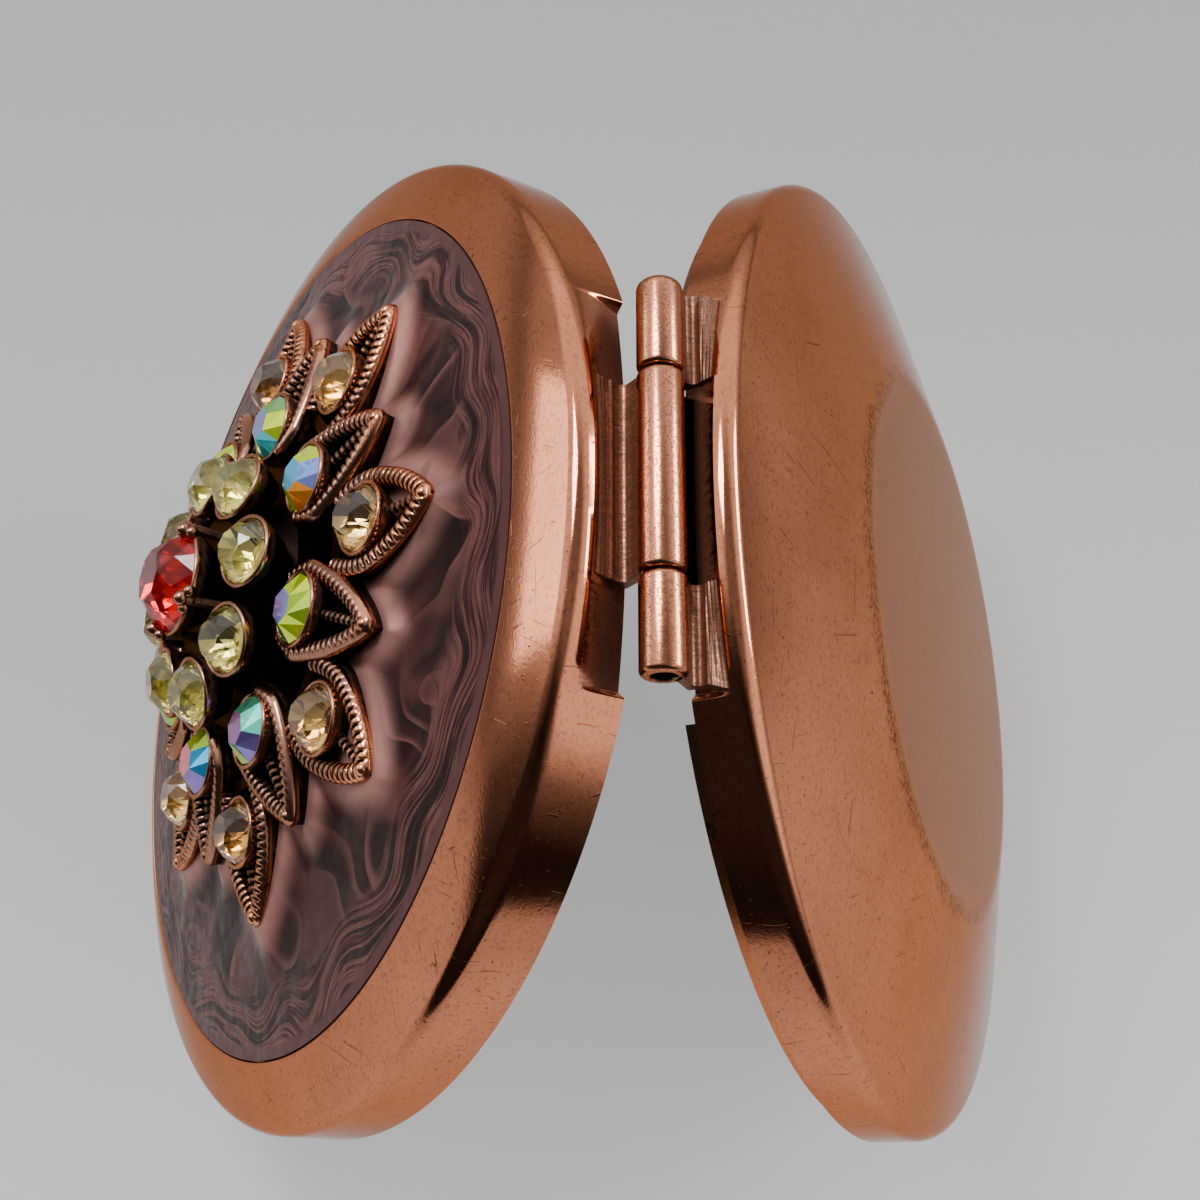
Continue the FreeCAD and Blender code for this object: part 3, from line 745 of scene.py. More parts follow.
def petal_walls(shape, petal, place):
    """The wall under the rope, down to the enamel or the petals below, and the hollow inside; the wall is
    painted darker downwards and the hollow black, as shade.
    """
    outside = petal_line(petal, wall_inset, petal_points)
    top = moved(outside + [0, 0, -rope_radius], place)
    bottom = above_enamel(moved(outside + [0, 0, -petal["depth"]], place), -wall_sunk)
    middle = (top + bottom) / 2
    shade = np.repeat([wall_shade], len(outside), axis=0)
    shape.add_grid(np.stack([top, middle, bottom], axis=1), shade, closed_rows=True)
    inside = petal_line(petal, pocket_inset_share * rope_radius, petal_points)
    rim = moved(inside + [0, 0, -rope_radius], place)
    deep = moved(inside * pocket_taper_shares + [0, 0, -pocket_depth], place)
    deep = above_enamel(deep, pocket_floor)
    shape.add_grid(np.stack([deep, rim], axis=1), 1.0, closed_rows=True)
    fan(shape, deep)
    fan(shape, bottom[::-1])
    shape.add_grid(np.stack([rim, top], axis=1), rim_shade, closed_rows=True)


def hub(shape, foot_radius, top_radius, low, high):
    """The body in the middle of a casting, painted black as shade."""
    section = [(heart_radius, low), (foot_radius, low), (top_radius, high), (heart_radius, high)]
    grid = turned(section, hub_sides) + [centre_x + flower_x, flower_y, 0]
    shape.add_grid(grid, 1.0, closed_rows=True, closed_columns=True)


def petal_casting(node, petal, stone_size, material):
    """One ring of petals with their ropes, veins, tip beads and stone cups."""
    shape = Shape()
    for place in ring_places(petal):
        petal_walls(shape, petal, place)
        rope_rim(shape, petal, place)
        beaded_vein(shape, petal, stone_size / 2, place)
        tip = (petal["tip"] - tip_bead_back, 0, -tip_bead_down)
        ball(shape, tip, tip_bead, place, squash=tip_bead_squash)
    for place in ring_places(petal, "stone_tilt"):
        stone_cup(shape, stone_size / 2, pocket_depth, place)
    hub(shape, petal["hub_radius"], petal["hub_radius"], petal["hub_low"], petal["hub_high"])
    add_piece(node + "_cast", shape, LID_HALF, "lid", [material], [node])


def cluster_places():
    """The places of the stones on the cup cluster."""
    pitch = 360 / petal_count
    return [flower_place(i * pitch, cluster_ring, cluster_height, cluster_tilt)
            for i in range(petal_count)]


def cup_cluster(material):
    """The casting on top of the petals: a dark body with a ring of stone cups."""
    shape = Shape()
    hub(shape, hub_foot, hub_top, hub_low, hub_high)
    for place in cluster_places():
        stone_cup(shape, yellow_size / 2, cluster_depth, place)
    add_piece("cup_cluster_cast", shape, LID_HALF, "lid", [material], ["cup_cluster"])


def setting_place():
    """The place of the centre stone."""
    return flower_place(0, 0, hub_high + setting_height, 0)


def centre_setting(material):
    """The centre cup with four claws, each tipped with a knot of beads."""
    shape = Shape()
    place = setting_place()
    stone_cup(shape, centre_size / 2, setting_height, place)
    reach = centre_size / 2 + claw_out
    bowed = (reach + claw_bow, claw_aside, claw_bow_height)
    post = evenly(np.array([(reach, 0, -setting_height), bowed, (reach, 0, claw_top)]), claw_step)
    for i in range(claw_count):
        claw = place @ Matrix.Rotation(math.radians(claw_turn + i * 360 / claw_count), 4, "Z")
        wire(shape, post, claw_radius, claw, claw_soil, strand_sides)
        ball(shape, (reach, 0, claw_bead_height), claw_bead, claw, claw_bead_soil)
        for across in (side_bead_across, -side_bead_across):
            side_bead = (reach + side_bead_out, across, side_bead_height)
            ball(shape, side_bead, claw_bead * side_bead_share, claw, claw_bead_soil)
    add_piece("centre_setting_cast", shape, LID_HALF, "lid", [material],
              ["centre_setting"])


# Stones

facet_draw = np.random.default_rng(7)


def facet_ring(radius, height, count, turn_share):
    """Points evenly round a stone, turned by a share of the step between them."""
    angles = (np.arange(count) + turn_share) * 2 * np.pi / count
    return np.stack([radius * np.cos(angles), radius * np.sin(angles), np.full(count, height)], axis=-1)


def cut_stone(name, diameter, place, glass, foil, plain=False):
    """A round cut stone: crown facets over a foiled back; a plain crown has few and large facets."""
    n = plain_facet_count if plain else facet_count
    spin = facet_draw.random()
    radius = diameter / 2
    low = cup_rise - (pavilion_share + girdle_share) * diameter
    girdle_low = low + pavilion_share * diameter
    girdle_high = girdle_low + girdle_share * diameter
    crown = (plain_crown_share if plain else crown_share) * diameter
    table_radius, star_radius = radius * table_share, radius * star_share
    star_drop_share = (radius - star_radius * math.cos(math.pi / n)) / (radius - table_radius)
    rings = [facet_ring(table_radius, girdle_high + crown, n, spin),
             facet_ring(star_radius, girdle_high + crown * star_drop_share, n, spin + 0.5),
             facet_ring(radius, girdle_high, 2 * n, 2 * spin),
             facet_ring(radius, girdle_low, 2 * n, 2 * spin),
             facet_ring(radius * culet_share, low, n, spin)]
    shape = Shape()
    table, star, high, down, culet = [shape.add_points(moved(ring, place), 0) for ring in rings]
    crown_faces = [tuple(table + k for k in range(n))]
    back_faces = [tuple(culet + k for k in reversed(range(n)))]
    for k in range(n):
        after = (k + 1) % n
        even, odd, following = 2 * k, 2 * k + 1, (2 * k + 2) % (2 * n)
        if plain:
            crown_faces.append((table + after, table + k, high + even, high + odd, high + following))
        else:
            crown_faces += [(table + after, table + k, star + k),
                            (table + k, star + (k - 1) % n, high + even, star + k),
                            (star + k, high + even, high + odd),
                            (star + k, high + odd, high + following)]
        for a, b in ((even, odd), (odd, following)):
            crown_faces.append((high + b, high + a, down + a, down + b))
        back_faces += [(down + odd, down + even, culet + k),
                       (down + following, down + odd, culet + after),
                       (culet + after, down + odd, culet + k)]
    # Each facet gets its own level, which the foil or the coat paints as a glint or a coloured reflection
    for faces, kind in ((crown_faces, 0), (back_faces, 1)):
        each = (len(faces) - 1) // n
        tone = np.repeat(facet_draw.random(n), each)
        first_facet_level = facet_draw.random(1)
        tone += facet_level_spread * (facet_draw.random(n * each) - 0.5)
        painted_facet_levels = np.clip(np.concatenate([first_facet_level, tone]), 0, 1)
        shape.add_faces(faces, kind, painted_facet_levels.tolist())
    add_piece(name + "_cut", shape, LID_HALF, "lid", [glass, foil], [name], sharp_angle=1)


# Hinge

def knuckle(shape, y0, y1, closed_end):
    """A rolled tube round the pin; a closed end is domed over."""
    mouth = knuckle_bore + bore_chamfer
    section = [(knuckle_bore, y1 - knuckle_round), (knuckle_bore, y0 + bore_chamfer), (mouth, y0)]
    section += rounded((0, y0), (knuckle_radius, y0), (knuckle_radius, y1), knuckle_round, round_points)
    if closed_end:
        section += rounded((knuckle_radius, y0), (knuckle_radius, y1), (0, y1), dome_round, dome_points)
        section += [(heart_radius, y1), (heart_radius, y1 - knuckle_round)]
    else:
        section += rounded((knuckle_radius, y0), (knuckle_radius, y1), (0, y1), knuckle_round,
                           round_points)
        section += [(mouth, y1), (knuckle_bore, y1 - bore_chamfer)]
    x, z, y = np.moveaxis(turned(section, knuckle_sides), -1, 0)
    grid = np.stack([x, y, -z], axis=-1)
    inside = np.hypot(x, z) < knuckle_bore + bore_chamfer / 2
    shape.add_grid(grid, inside, closed_rows=True, closed_columns=True)


def leaf_strip(shape, edge_height, leaf_top, step, y0, y1):
    """The strip from a knuckle, bent up the wall of the hinge hollow, with drawn grooves and a step."""
    wall = centre_x - case_radius
    tail_top = leaf_low + leaf_sheet
    heights = np.linspace(leaf_top, tail_top + leaf_bend, leaf_points)
    middle = (leaf_top + tail_top) / 2
    proud = leaf_lap + step * smooth_step(middle + leaf_step_half, middle - leaf_step_half, heights)
    grooves = groove_depth * np.sin(np.linspace(0, groove_count * 2 * np.pi, leaf_points))
    follow = smooth_step(tail_top + leaf_bend, leaf_top, heights)
    straight = wall + recess_depth * wall_share(heights, edge_height)
    back = straight[-1] + leaf_back
    tail = (leaf_tail, tail_top)
    rows = []
    for y in np.linspace(y0, y1, leaf_rows):
        radius = case_radius - hollow_depth(abs(y), heights, edge_height)
        curved = centre_x - np.sqrt(radius ** 2 - y ** 2)
        across = straight + follow * (curved - straight) - proud + grooves
        front = list(zip(across, heights))
        corner = (across[-1] + leaf_foot, tail_top)
        bend = rounded(front[-1], corner, tail, leaf_bend * leaf_round_share, dome_points)
        top_back = (max(across[0], curved[0]) + leaf_back, leaf_top)
        behind = [(leaf_tail, leaf_low), (back, leaf_low), (back, tail_top), top_back]
        section = front[:-1] + bend + [tail] + behind
        rows.append([(x, y, z) for x, z in section])
    grid = np.array(rows)
    shape.add_grid(grid, leaf_soil, closed_columns=True)
    shape.add_loop(grid[0][::-1], leaf_soil)
    shape.add_loop(grid[-1], leaf_soil)


def hinge_leaf(body, side, y0, y1, material, closed_end=False):
    """One leaf of the hinge with its knuckle, from y0 to y1 along the pin."""
    shape = Shape()
    knuckle(shape, y0, y1, closed_end)
    if body == "lid":
        half = LID_HALF
        leaf_strip(shape, lid_edge, lid_leaf_top, leaf_step, y0, y1)
    else:
        half = BASE_HALF
        leaf_strip(shape, base_edge, base_leaf_top, 0.0, y0, y1)
    node = body + "_hinge_leaf" + side
    add_piece(node + "_rolled", shape, half, body, [material], [node], sharp_angle=40)


def hinge_leaves(material):
    """The long middle leaf on the lid and the two outer leaves on the base."""
    half_middle, half_length = middle_knuckle / 2, hinge_length / 2
    outer = half_middle + knuckle_gap
    hinge_leaf("lid", "", -half_middle, half_middle, material)
    hinge_leaf("base", "_far", outer, half_length, material, closed_end=True)
    hinge_leaf("base", "_near", -half_length, -outer, material)


# Materials: small helpers for node trees

def colour(red, green, blue):
    """A colour as seen on a screen, 0 to 255, as linear light."""
    parts = [value / 255 for value in (red, green, blue)]
    return tuple(p / 12.92 if p <= 0.04045 else ((p + 0.055) / 1.055) ** 2.4 for p in parts) + (1.0,)


class Nodes:
    """Adds nodes to one tree; an input is a socket, a number, a vector or a colour."""

    def __init__(self, tree):
        self.tree = tree

    def feed(self, socket, value):
        """Links a socket to an input, or sets the input's own value."""
        if isinstance(value, bpy.types.NodeSocket):
            self.tree.links.new(value, socket)
        elif value is not None:
            socket.default_value = value

    def add(self, kind, inputs=(), **settings):
        """A node of a kind, with its inputs by name and its settings."""
        node = self.tree.nodes.new("ShaderNode" + kind)
        for key, value in settings.items():
            setattr(node, key, value)
        for key, value in dict(inputs).items():
            self.feed(node.inputs[key], value)
        return node

    def math(self, operation, first, second=None, clamp=False):
        """A sum with one or two values."""
        node = self.add("Math", operation=operation, use_clamp=clamp)
        self.feed(node.inputs[0], first)
        self.feed(node.inputs[1], second)
        return node.outputs[0]

    def vector(self, operation, first, second=None, scale=None):
        """A sum with vectors; lengths and dot products are single values."""
        node = self.add("VectorMath", operation=operation)
        self.feed(node.inputs[0], first)
        self.feed(node.inputs[1], second)
        if scale is not None:
            self.feed(node.inputs["Scale"], scale)
        return node.outputs["Value" if operation in ("LENGTH", "DOT_PRODUCT") else "Vector"]

    def noise(self, vector, scale, detail=3.0, roughness=0.5, distortion=0.0):
        """Cloudy noise from 0 to 1."""
        node = self.add("TexNoise", {"Vector": vector, "Scale": scale, "Detail": detail,
                                     "Roughness": roughness, "Distortion": distortion})
        return node.outputs["Fac"]

    def noise_vector(self, vector, scale, detail):
        """Cloudy noise in three directions at once."""
        return self.add("TexNoise", {"Vector": vector, "Scale": scale, "Detail": detail}).outputs["Color"]

    def range(self, value, low, high, start=0.0, end=1.0):
        """Runs softly from start to end while the value runs from low to high."""
        node = self.add("MapRange", {"Value": value, "From Min": low, "From Max": high,
                                     "To Min": start, "To Max": end}, interpolation_type="SMOOTHSTEP")
        return node.outputs["Result"]

    def ramp(self, value, stops):
        """Colours along a value, from stops of (value, colour)."""
        node = self.add("ValToRGB", {"Fac": value})
        elements = node.color_ramp.elements
        while len(elements) < len(stops):
            elements.new(0.5)
        for element, (place, tint) in zip(elements, stops):
            element.position = place
            element.color = tint
        return node.outputs["Color"]

    def mix(self, share, first, second, blend="MIX"):
        """The first colour with a share of the second over it."""
        node = self.add("Mix", data_type="RGBA", blend_type=blend)
        self.feed(node.inputs["Factor"], share)
        self.feed(node.inputs[6], first)
        self.feed(node.inputs[7], second)
        return node.outputs[2]

    def bump(self, height, strength, distance):
        """The surface with a relief; the distance is in metres."""
        node = self.add("Bump", {"Height": height, "Strength": strength, "Distance": distance})
        return node.outputs["Normal"]

    def drawn(self):
        """The place on the piece, in millimetres from the middle of its half."""
        return self.add("Attribute", attribute_name="drawn").outputs["Vector"]

    def cad_place(self):
        """The place on a CAD node, in millimetres."""
        return self.vector("SCALE", self.add("TexCoord").outputs["Object"], scale=1 / MM)

    def hollow(self):
        """How deep in a hollow the place lies, from 0 to 1, which sets oxide and painted shade; on the
        enamel, how near a petal, which sets a painted sheen; 0 on a CAD node.
        """
        return self.add("Attribute", attribute_name="hollow").outputs["Fac"]

    def grouped(self, group, inputs):
        """The outputs of a node group, placed with values of its own."""
        node = self.add("Group", node_tree=group)
        for key, value in inputs.items():
            self.feed(node.inputs[key], value)
        return node.outputs


def new_group(name, inputs, outputs):
    """A node group with named sockets; returns its nodes, its input sockets and its end node."""
    tree = bpy.data.node_groups.new(name, "ShaderNodeTree")
    for key, (kind, value) in inputs.items():
        socket = tree.interface.new_socket(key, in_out="INPUT", socket_type="NodeSocket" + kind)
        if value is not None:
            socket.default_value = value
    for key, kind in outputs.items():
        tree.interface.new_socket(key, in_out="OUTPUT", socket_type="NodeSocket" + kind)
    nodes = Nodes(tree)
    start = tree.nodes.new("NodeGroupInput")
    end = tree.nodes.new("NodeGroupOutput")
    return tree, nodes, start.outputs, end


def pits_group():
    """Small dark pits in plating, thick in some places and thin in others."""
    tree, nodes, given, end = new_group(
        "pits", {"Place": ("Vector", None), "Scale": ("Float", 5.0), "Amount": ("Float", 0.5)},
        {"Mask": "Float"})
    grain = nodes.noise(given["Place"], given["Scale"], 2.0, 0.6)
    crowd = nodes.noise(given["Place"], 0.35, 4.0, 0.65)
    level = nodes.math("SUBTRACT", 0.78, nodes.math("MULTIPLY", given["Amount"], 0.24))
    level = nodes.math("SUBTRACT", level, nodes.math("MULTIPLY", crowd, 0.12))
    nodes.feed(end.inputs["Mask"], nodes.range(nodes.math("SUBTRACT", grain, level), 0.0, 0.05))
    return tree


def scratches_group():
    """Hairline scratches in three directions, only here and there."""
    tree, nodes, given, end = new_group(
        "scratches", {"Place": ("Vector", None), "Turn": ("Float", 0.4), "Amount": ("Float", 0.5)},
        {"Mask": "Float"})
    lines = 0.0
    for extra in (0.0, 1.1, 2.3):
        turn = nodes.math("ADD", given["Turn"], extra)
        across = nodes.add("VectorRotate", {"Vector": given["Place"], "Angle": turn},
                           rotation_type="Z_AXIS").outputs["Vector"]
        bent = nodes.vector("SCALE", nodes.noise_vector(across, 0.12, 1.0), scale=1.6)
        long = nodes.vector("MULTIPLY", nodes.vector("ADD", across, bent), (0.16, 5.5, 0.4))
        level = nodes.math("SUBTRACT", 0.84, nodes.math("MULTIPLY", given["Amount"], 0.18))
        line = nodes.range(nodes.math("SUBTRACT", nodes.noise(long, 1.0, 1.0), level), 0.0, 0.03)
        lines = nodes.math("MAXIMUM", line, lines)
    nodes.feed(end.inputs["Mask"], lines)
    return tree


def oxide_and_shade_group():
    """Masks from how deep in a hollow a place lies, broken up by noise: a dull one for oxide and painted
    shade, and a dark one for soil and painted shade in the deep of hollows.
    """
    tree, nodes, given, end = new_group(
        "oxide_and_shade", {"Place": ("Vector", None), "Hollow": ("Float", 0.0)},
        {"Dull": "Float", "Dark": "Float"})
    broken = nodes.math("SUBTRACT", nodes.noise(given["Place"], 1.6, 4.0, 0.6), 0.5)
    depth = nodes.math("ADD", given["Hollow"], nodes.math("MULTIPLY", broken, 0.5))
    nodes.feed(end.inputs["Dull"], nodes.range(depth, 0.08, 0.5))
    nodes.feed(end.inputs["Dark"], nodes.range(depth, 0.5, 0.85))
    return tree


PITS = pits_group()
SCRATCHES = scratches_group()
OXIDE_AND_SHADE = oxide_and_shade_group()


# Materials of the pieces: colours, and places in millimetres

REFLECTION = (0.8, 0.58, 0.48, 1)
WORN_PLATE = (0.26, 0.148, 0.115, 1)
DARK_BEND = colour(64, 38, 30)
SANDY_PLATE = colour(92, 52, 38)
HAIRLINE = colour(80, 46, 35)
PIT = colour(58, 32, 24)
# Painted shade in the deepest hollows, with some soil in the hinge hollow
DEEP_SHADE_AND_SOIL = colour(18, 11, 9)
worn_start = flat_radius + 2.6
worn_full = flat_radius - 1.6
dark_bend_radius = flat_radius + 1.2
worn_fray = 2.4

FOLD_SHADE = colour(24, 9, 10)
FOLD_CREST = colour(138, 88, 82)
THREAD = colour(18, 10, 12)
PALE_PATCH = colour(104, 60, 55)
PLAIN_RIM = colour(80, 50, 48)
PAINTED_SHEEN = colour(206, 150, 140)
FLAKE = colour(110, 66, 60)
lines_start = enamel_radius - 9.5
lines_full = enamel_radius - 4.5
rim_start = enamel_radius - 2.4
rim_full = enamel_radius - 0.4
plain_rim_start = enamel_radius - 0.9
plain_rim_full = enamel_radius - 0.5
rim_wander = 5.5
rim_fray = 5.0
flow_radius = 17.0
broad_sway = 9.0
curl_sway = 1.8

STEEL_STAIN = colour(70, 52, 40)


def new_material(name):
    """A material with its nodes and its shader."""
    material = bpy.data.materials.new(name)
    material.use_nodes = True
    shader = material.node_tree.nodes["Principled BSDF"]
    return material, Nodes(material.node_tree), shader


def copper(name, light, dark, roughness, oxide_and_shade_colour, oxide_and_shade_grain, pits, pit_scale, scratches, on_cad=False):
    """Antique copper plate: broad tone, sandy grain, pits, hairlines, a worn middle, a darker band round
    the bend, oxide and painted shade in hollows.
    """
    material, nodes, shader = new_material(name)
    place = nodes.cad_place() if on_cad else nodes.drawn()
    tone = nodes.range(nodes.noise(place, 0.12, 5.0, 0.6), 0.3, 0.7)
    pit = nodes.grouped(PITS, {"Place": place, "Scale": pit_scale, "Amount": pits})["Mask"]
    hair = nodes.grouped(SCRATCHES, {"Place": place, "Turn": 0.5, "Amount": scratches})["Mask"]
    streaked = nodes.vector("MULTIPLY", place, oxide_and_shade_grain)
    oxide_and_shade = nodes.grouped(OXIDE_AND_SHADE, {"Place": streaked, "Hollow": nodes.hollow()})
    sand = nodes.noise(nodes.vector("MULTIPLY", place, (1.0, 0.6, 1.0)), 5.0, 3.0, 0.75)
    from_middle = nodes.vector("LENGTH", nodes.vector("MULTIPLY", place, (1, 1, 0)))
    fray = nodes.math("MULTIPLY", nodes.noise(place, 0.5, 4.0, 0.6), worn_fray)
    ragged = nodes.math("ADD", from_middle, fray)
    worn = nodes.range(ragged, worn_start, worn_full, 0.0, 0.75)
    plate = nodes.mix(tone, light, dark)
    plate = nodes.mix(worn, plate, WORN_PLATE)
    scuffs = nodes.grouped(SCRATCHES, {"Place": place, "Turn": 1.4, "Amount": 0.68})["Mask"]
    hair = nodes.math("MAXIMUM", hair, nodes.math("MULTIPLY", scuffs, worn))
    # A darker band round the bend from the slope to the flat, broken up by the sand
    from_bend = nodes.math("ABSOLUTE", nodes.math("SUBTRACT", ragged, dark_bend_radius))
    darker_at_bend = nodes.math("MULTIPLY", nodes.range(from_bend, 1.0, 0.1),
                        nodes.range(sand, 0.42, 0.6, 0.0, 0.7))
    plate = nodes.mix(darker_at_bend, plate, DARK_BEND)
    plate = nodes.mix(nodes.range(sand, 0.48, 0.75, 0.0, 0.55), plate, SANDY_PLATE)
    plate = nodes.mix(nodes.math("MULTIPLY", hair, 0.55), plate, HAIRLINE)
    # Hollows take the oxide colour, which on the castings is near black painted shade, and the deepest
    # hollows a dark painted shade
    plate = nodes.mix(oxide_and_shade["Dull"], plate, oxide_and_shade_colour)
    plate = nodes.mix(nodes.math("MULTIPLY", pit, 0.75), plate, PIT)
    plate = nodes.mix(oxide_and_shade["Dark"], plate, DEEP_SHADE_AND_SOIL)
    nodes.feed(shader.inputs["Base Color"], plate)
    chalky = nodes.math("SUBTRACT", oxide_and_shade["Dull"], oxide_and_shade["Dark"], clamp=True)
    metallic = nodes.math("SUBTRACT", 1.0, nodes.math("MULTIPLY", chalky, 0.6))
    nodes.feed(shader.inputs["Metallic"], metallic)
    shader.inputs["Specular Tint"].default_value = REFLECTION
    rough = nodes.math("ADD", nodes.math("MULTIPLY", sand, 0.12), roughness - 0.06)
    dirty = nodes.math("MAXIMUM", pit, oxide_and_shade["Dull"])
    rough = nodes.math("ADD", rough, nodes.math("MULTIPLY", dirty, 0.2), clamp=True)
    nodes.feed(shader.inputs["Roughness"], rough)
    marks = nodes.math("MULTIPLY", nodes.math("MAXIMUM", pit, hair), 0.8)
    dents = nodes.math("SUBTRACT", sand, marks)
    nodes.feed(shader.inputs["Normal"], nodes.bump(dents, 0.12, 0.03 * MM))
    return material


def enamel():
    """Pearly marbled enamel: pouches of nested flow lines, drawn out along the rim, with a painted sheen
    near the petals.
    """
    material, nodes, shader = new_material("marbled_enamel")
    drawn = nodes.drawn()
    flat = nodes.vector("MULTIPLY", drawn, (1, 1, 0))
    radius = nodes.vector("LENGTH", flat)
    way = nodes.vector("SCALE", nodes.vector("NORMALIZE", flat), scale=flow_radius)
    reach = nodes.add("CombineXYZ", {"Z": nodes.math("MULTIPLY", radius, 0.5)}).outputs[0]
    place = nodes.vector("ADD", way, reach)
    broad = nodes.vector("SUBTRACT", nodes.noise_vector(flat, 0.13, 1.0), (0.5, 0.5, 0.5))
    curl = nodes.vector("SUBTRACT", nodes.noise_vector(flat, 0.3, 0.0), (0.5, 0.5, 0.5))
    place = nodes.vector("ADD", place, nodes.vector("SCALE", broad, scale=broad_sway))
    place = nodes.vector("ADD", place, nodes.vector("SCALE", curl, scale=curl_sway))
    pouch = nodes.add("TexVoronoi", {"Vector": place, "Scale": 0.115, "Smoothness": 0.7},
                      feature="SMOOTH_F1").outputs["Distance"]
    fold = nodes.math("FRACT", nodes.math("MULTIPLY", pouch, 5.2))
    thin = nodes.math("SINE", nodes.math("MULTIPLY", pouch, 107.0))
    patch = nodes.noise(place, 0.16, 1.5, 0.5, 0.4)
    body = nodes.ramp(pouch, [(0.1, colour(54, 28, 26)), (0.32, colour(32, 16, 16)),
                              (0.5, colour(46, 24, 22)), (0.62, colour(34, 15, 15)),
                              (0.85, colour(44, 21, 20))])
    body = nodes.mix(nodes.range(patch, 0.45, 0.68, 0.0, 0.6), body, PALE_PATCH)
    outward = nodes.range(radius, lines_start, lines_full, 0.3, 1.0)
    lined = nodes.math("MULTIPLY", nodes.range(patch, 0.38, 0.6, 1.0, 0.35), outward)
    shade = nodes.math("MULTIPLY", nodes.range(fold, 0.0, 0.5, 0.9, 0.0),
                       nodes.range(fold, 0.0, 0.03))
    body = nodes.mix(nodes.math("MULTIPLY", shade, lined), body, FOLD_SHADE)
    crest = nodes.math("MULTIPLY", nodes.range(fold, 0.6, 0.97, 0.0, 0.5),
                       nodes.range(fold, 1.0, 0.97))
    body = nodes.mix(nodes.math("MULTIPLY", crest, lined), body, FOLD_CREST)
    thread = nodes.math("MULTIPLY", nodes.range(thin, 0.6, 1.0, 0.0, 0.2), lined)
    body = nodes.mix(thread, body, THREAD)
    wander = nodes.math("ADD", radius, nodes.math("MULTIPLY", nodes.noise(flat, 0.17, 0.0), rim_wander))
    inward = nodes.add("CombineXYZ", {"Z": nodes.math("MULTIPLY", wander, 2.6)}).outputs[0]
    streak_place = nodes.vector("ADD", nodes.vector("SCALE", way, scale=0.14), inward)
    streak = nodes.noise(streak_place, 1.0, 4.0, 0.65, 0.5)
    rim_colour = nodes.ramp(streak, [(0.36, colour(20, 8, 9)), (0.47, colour(48, 23, 22)),
                                     (0.56, colour(108, 67, 63)), (0.66, colour(22, 13, 14))])
    inner_edge = nodes.math("ADD", radius, nodes.math("MULTIPLY", nodes.noise(way, 0.2, 2.0), rim_fray))
    near_rim = nodes.range(inner_edge, rim_start, rim_full)
    body = nodes.mix(near_rim, body, rim_colour)
    plain_rim = nodes.range(radius, plain_rim_start, plain_rim_full)
    body = nodes.mix(plain_rim, body, PLAIN_RIM)
    # Painted sheen: paler enamel near the petals, where it is drawn up and catches the light
    painted_sheen = nodes.math("MULTIPLY", nodes.range(nodes.hollow(), 0.2, 0.85, 0.0, 0.5),
                       nodes.range(patch, 0.3, 0.55, 0.45, 1.0))
    body = nodes.mix(painted_sheen, body, PAINTED_SHEEN)
    flake = nodes.noise(drawn, 11.0, 2.0, 0.7)
    body = nodes.mix(nodes.range(flake, 0.55, 0.75, 0.0, 0.2), body, FLAKE)
    nodes.feed(shader.inputs["Base Color"], body)
    nodes.feed(shader.inputs["Metallic"], nodes.range(patch, 0.35, 0.65, 0.2, 0.5))
    haze = nodes.noise(drawn, 1.2, 3.0)
    nodes.feed(shader.inputs["Roughness"], nodes.range(haze, 0.3, 0.7, 0.32, 0.44))
    shader.inputs["Specular IOR Level"].default_value = 0.06
    shader.inputs["Coat Weight"].default_value = 0.1
    shader.inputs["Coat Roughness"].default_value = 0.07
    shader.inputs["Coat IOR"].default_value = 1.3
    swell = nodes.noise(flat, 0.35, 2.0)
    nodes.feed(shader.inputs["Normal"], nodes.bump(swell, 0.3, 0.6 * MM))
    return material


def clear_glass(name, tint, pale=(1, 1, 1, 1), ior=1.58):
    """Clear coloured glass with faint wear on its facets."""
    material, nodes, shader = new_material(name)
    place = nodes.drawn()
    haze = nodes.noise(place, 2.5, 3.0, 0.6)
    clouded = nodes.mix(nodes.range(haze, 0.3, 0.7, 0.0, 0.35), tint, pale)
    nodes.feed(shader.inputs["Base Color"], clouded)
    shader.inputs["Transmission Weight"].default_value = 1.0
    shader.inputs["IOR"].default_value = ior
    shader.inputs["Specular IOR Level"].default_value = 0.13
    nodes.feed(shader.inputs["Roughness"], nodes.range(haze, 0.4, 0.8, 0.01, 0.06))
    return material


def facet_foil(name, metallic, roughness, stops, coat=1.0):
    """Foiled or coated facets, each painted its own colour along the stops, as painted glints and
    reflections.
    """
    material, nodes, shader = new_material(name)
    facet = nodes.add("Attribute", attribute_name="facet").outputs["Fac"]
    place = nodes.drawn()
    cloud = nodes.math("MULTIPLY", nodes.math("SUBTRACT", nodes.noise(place, 0.9, 2.0), 0.5), 0.12)
    nodes.feed(shader.inputs["Base Color"], nodes.ramp(nodes.math("ADD", facet, cloud), stops))
    shader.inputs["Metallic"].default_value = metallic
    shader.inputs["Coat Weight"].default_value = coat
    haze = nodes.noise(place, 3.0, 2.0)
    nodes.feed(shader.inputs["Roughness"], nodes.range(haze, 0.3, 0.7, roughness, roughness + 0.1))
    return material


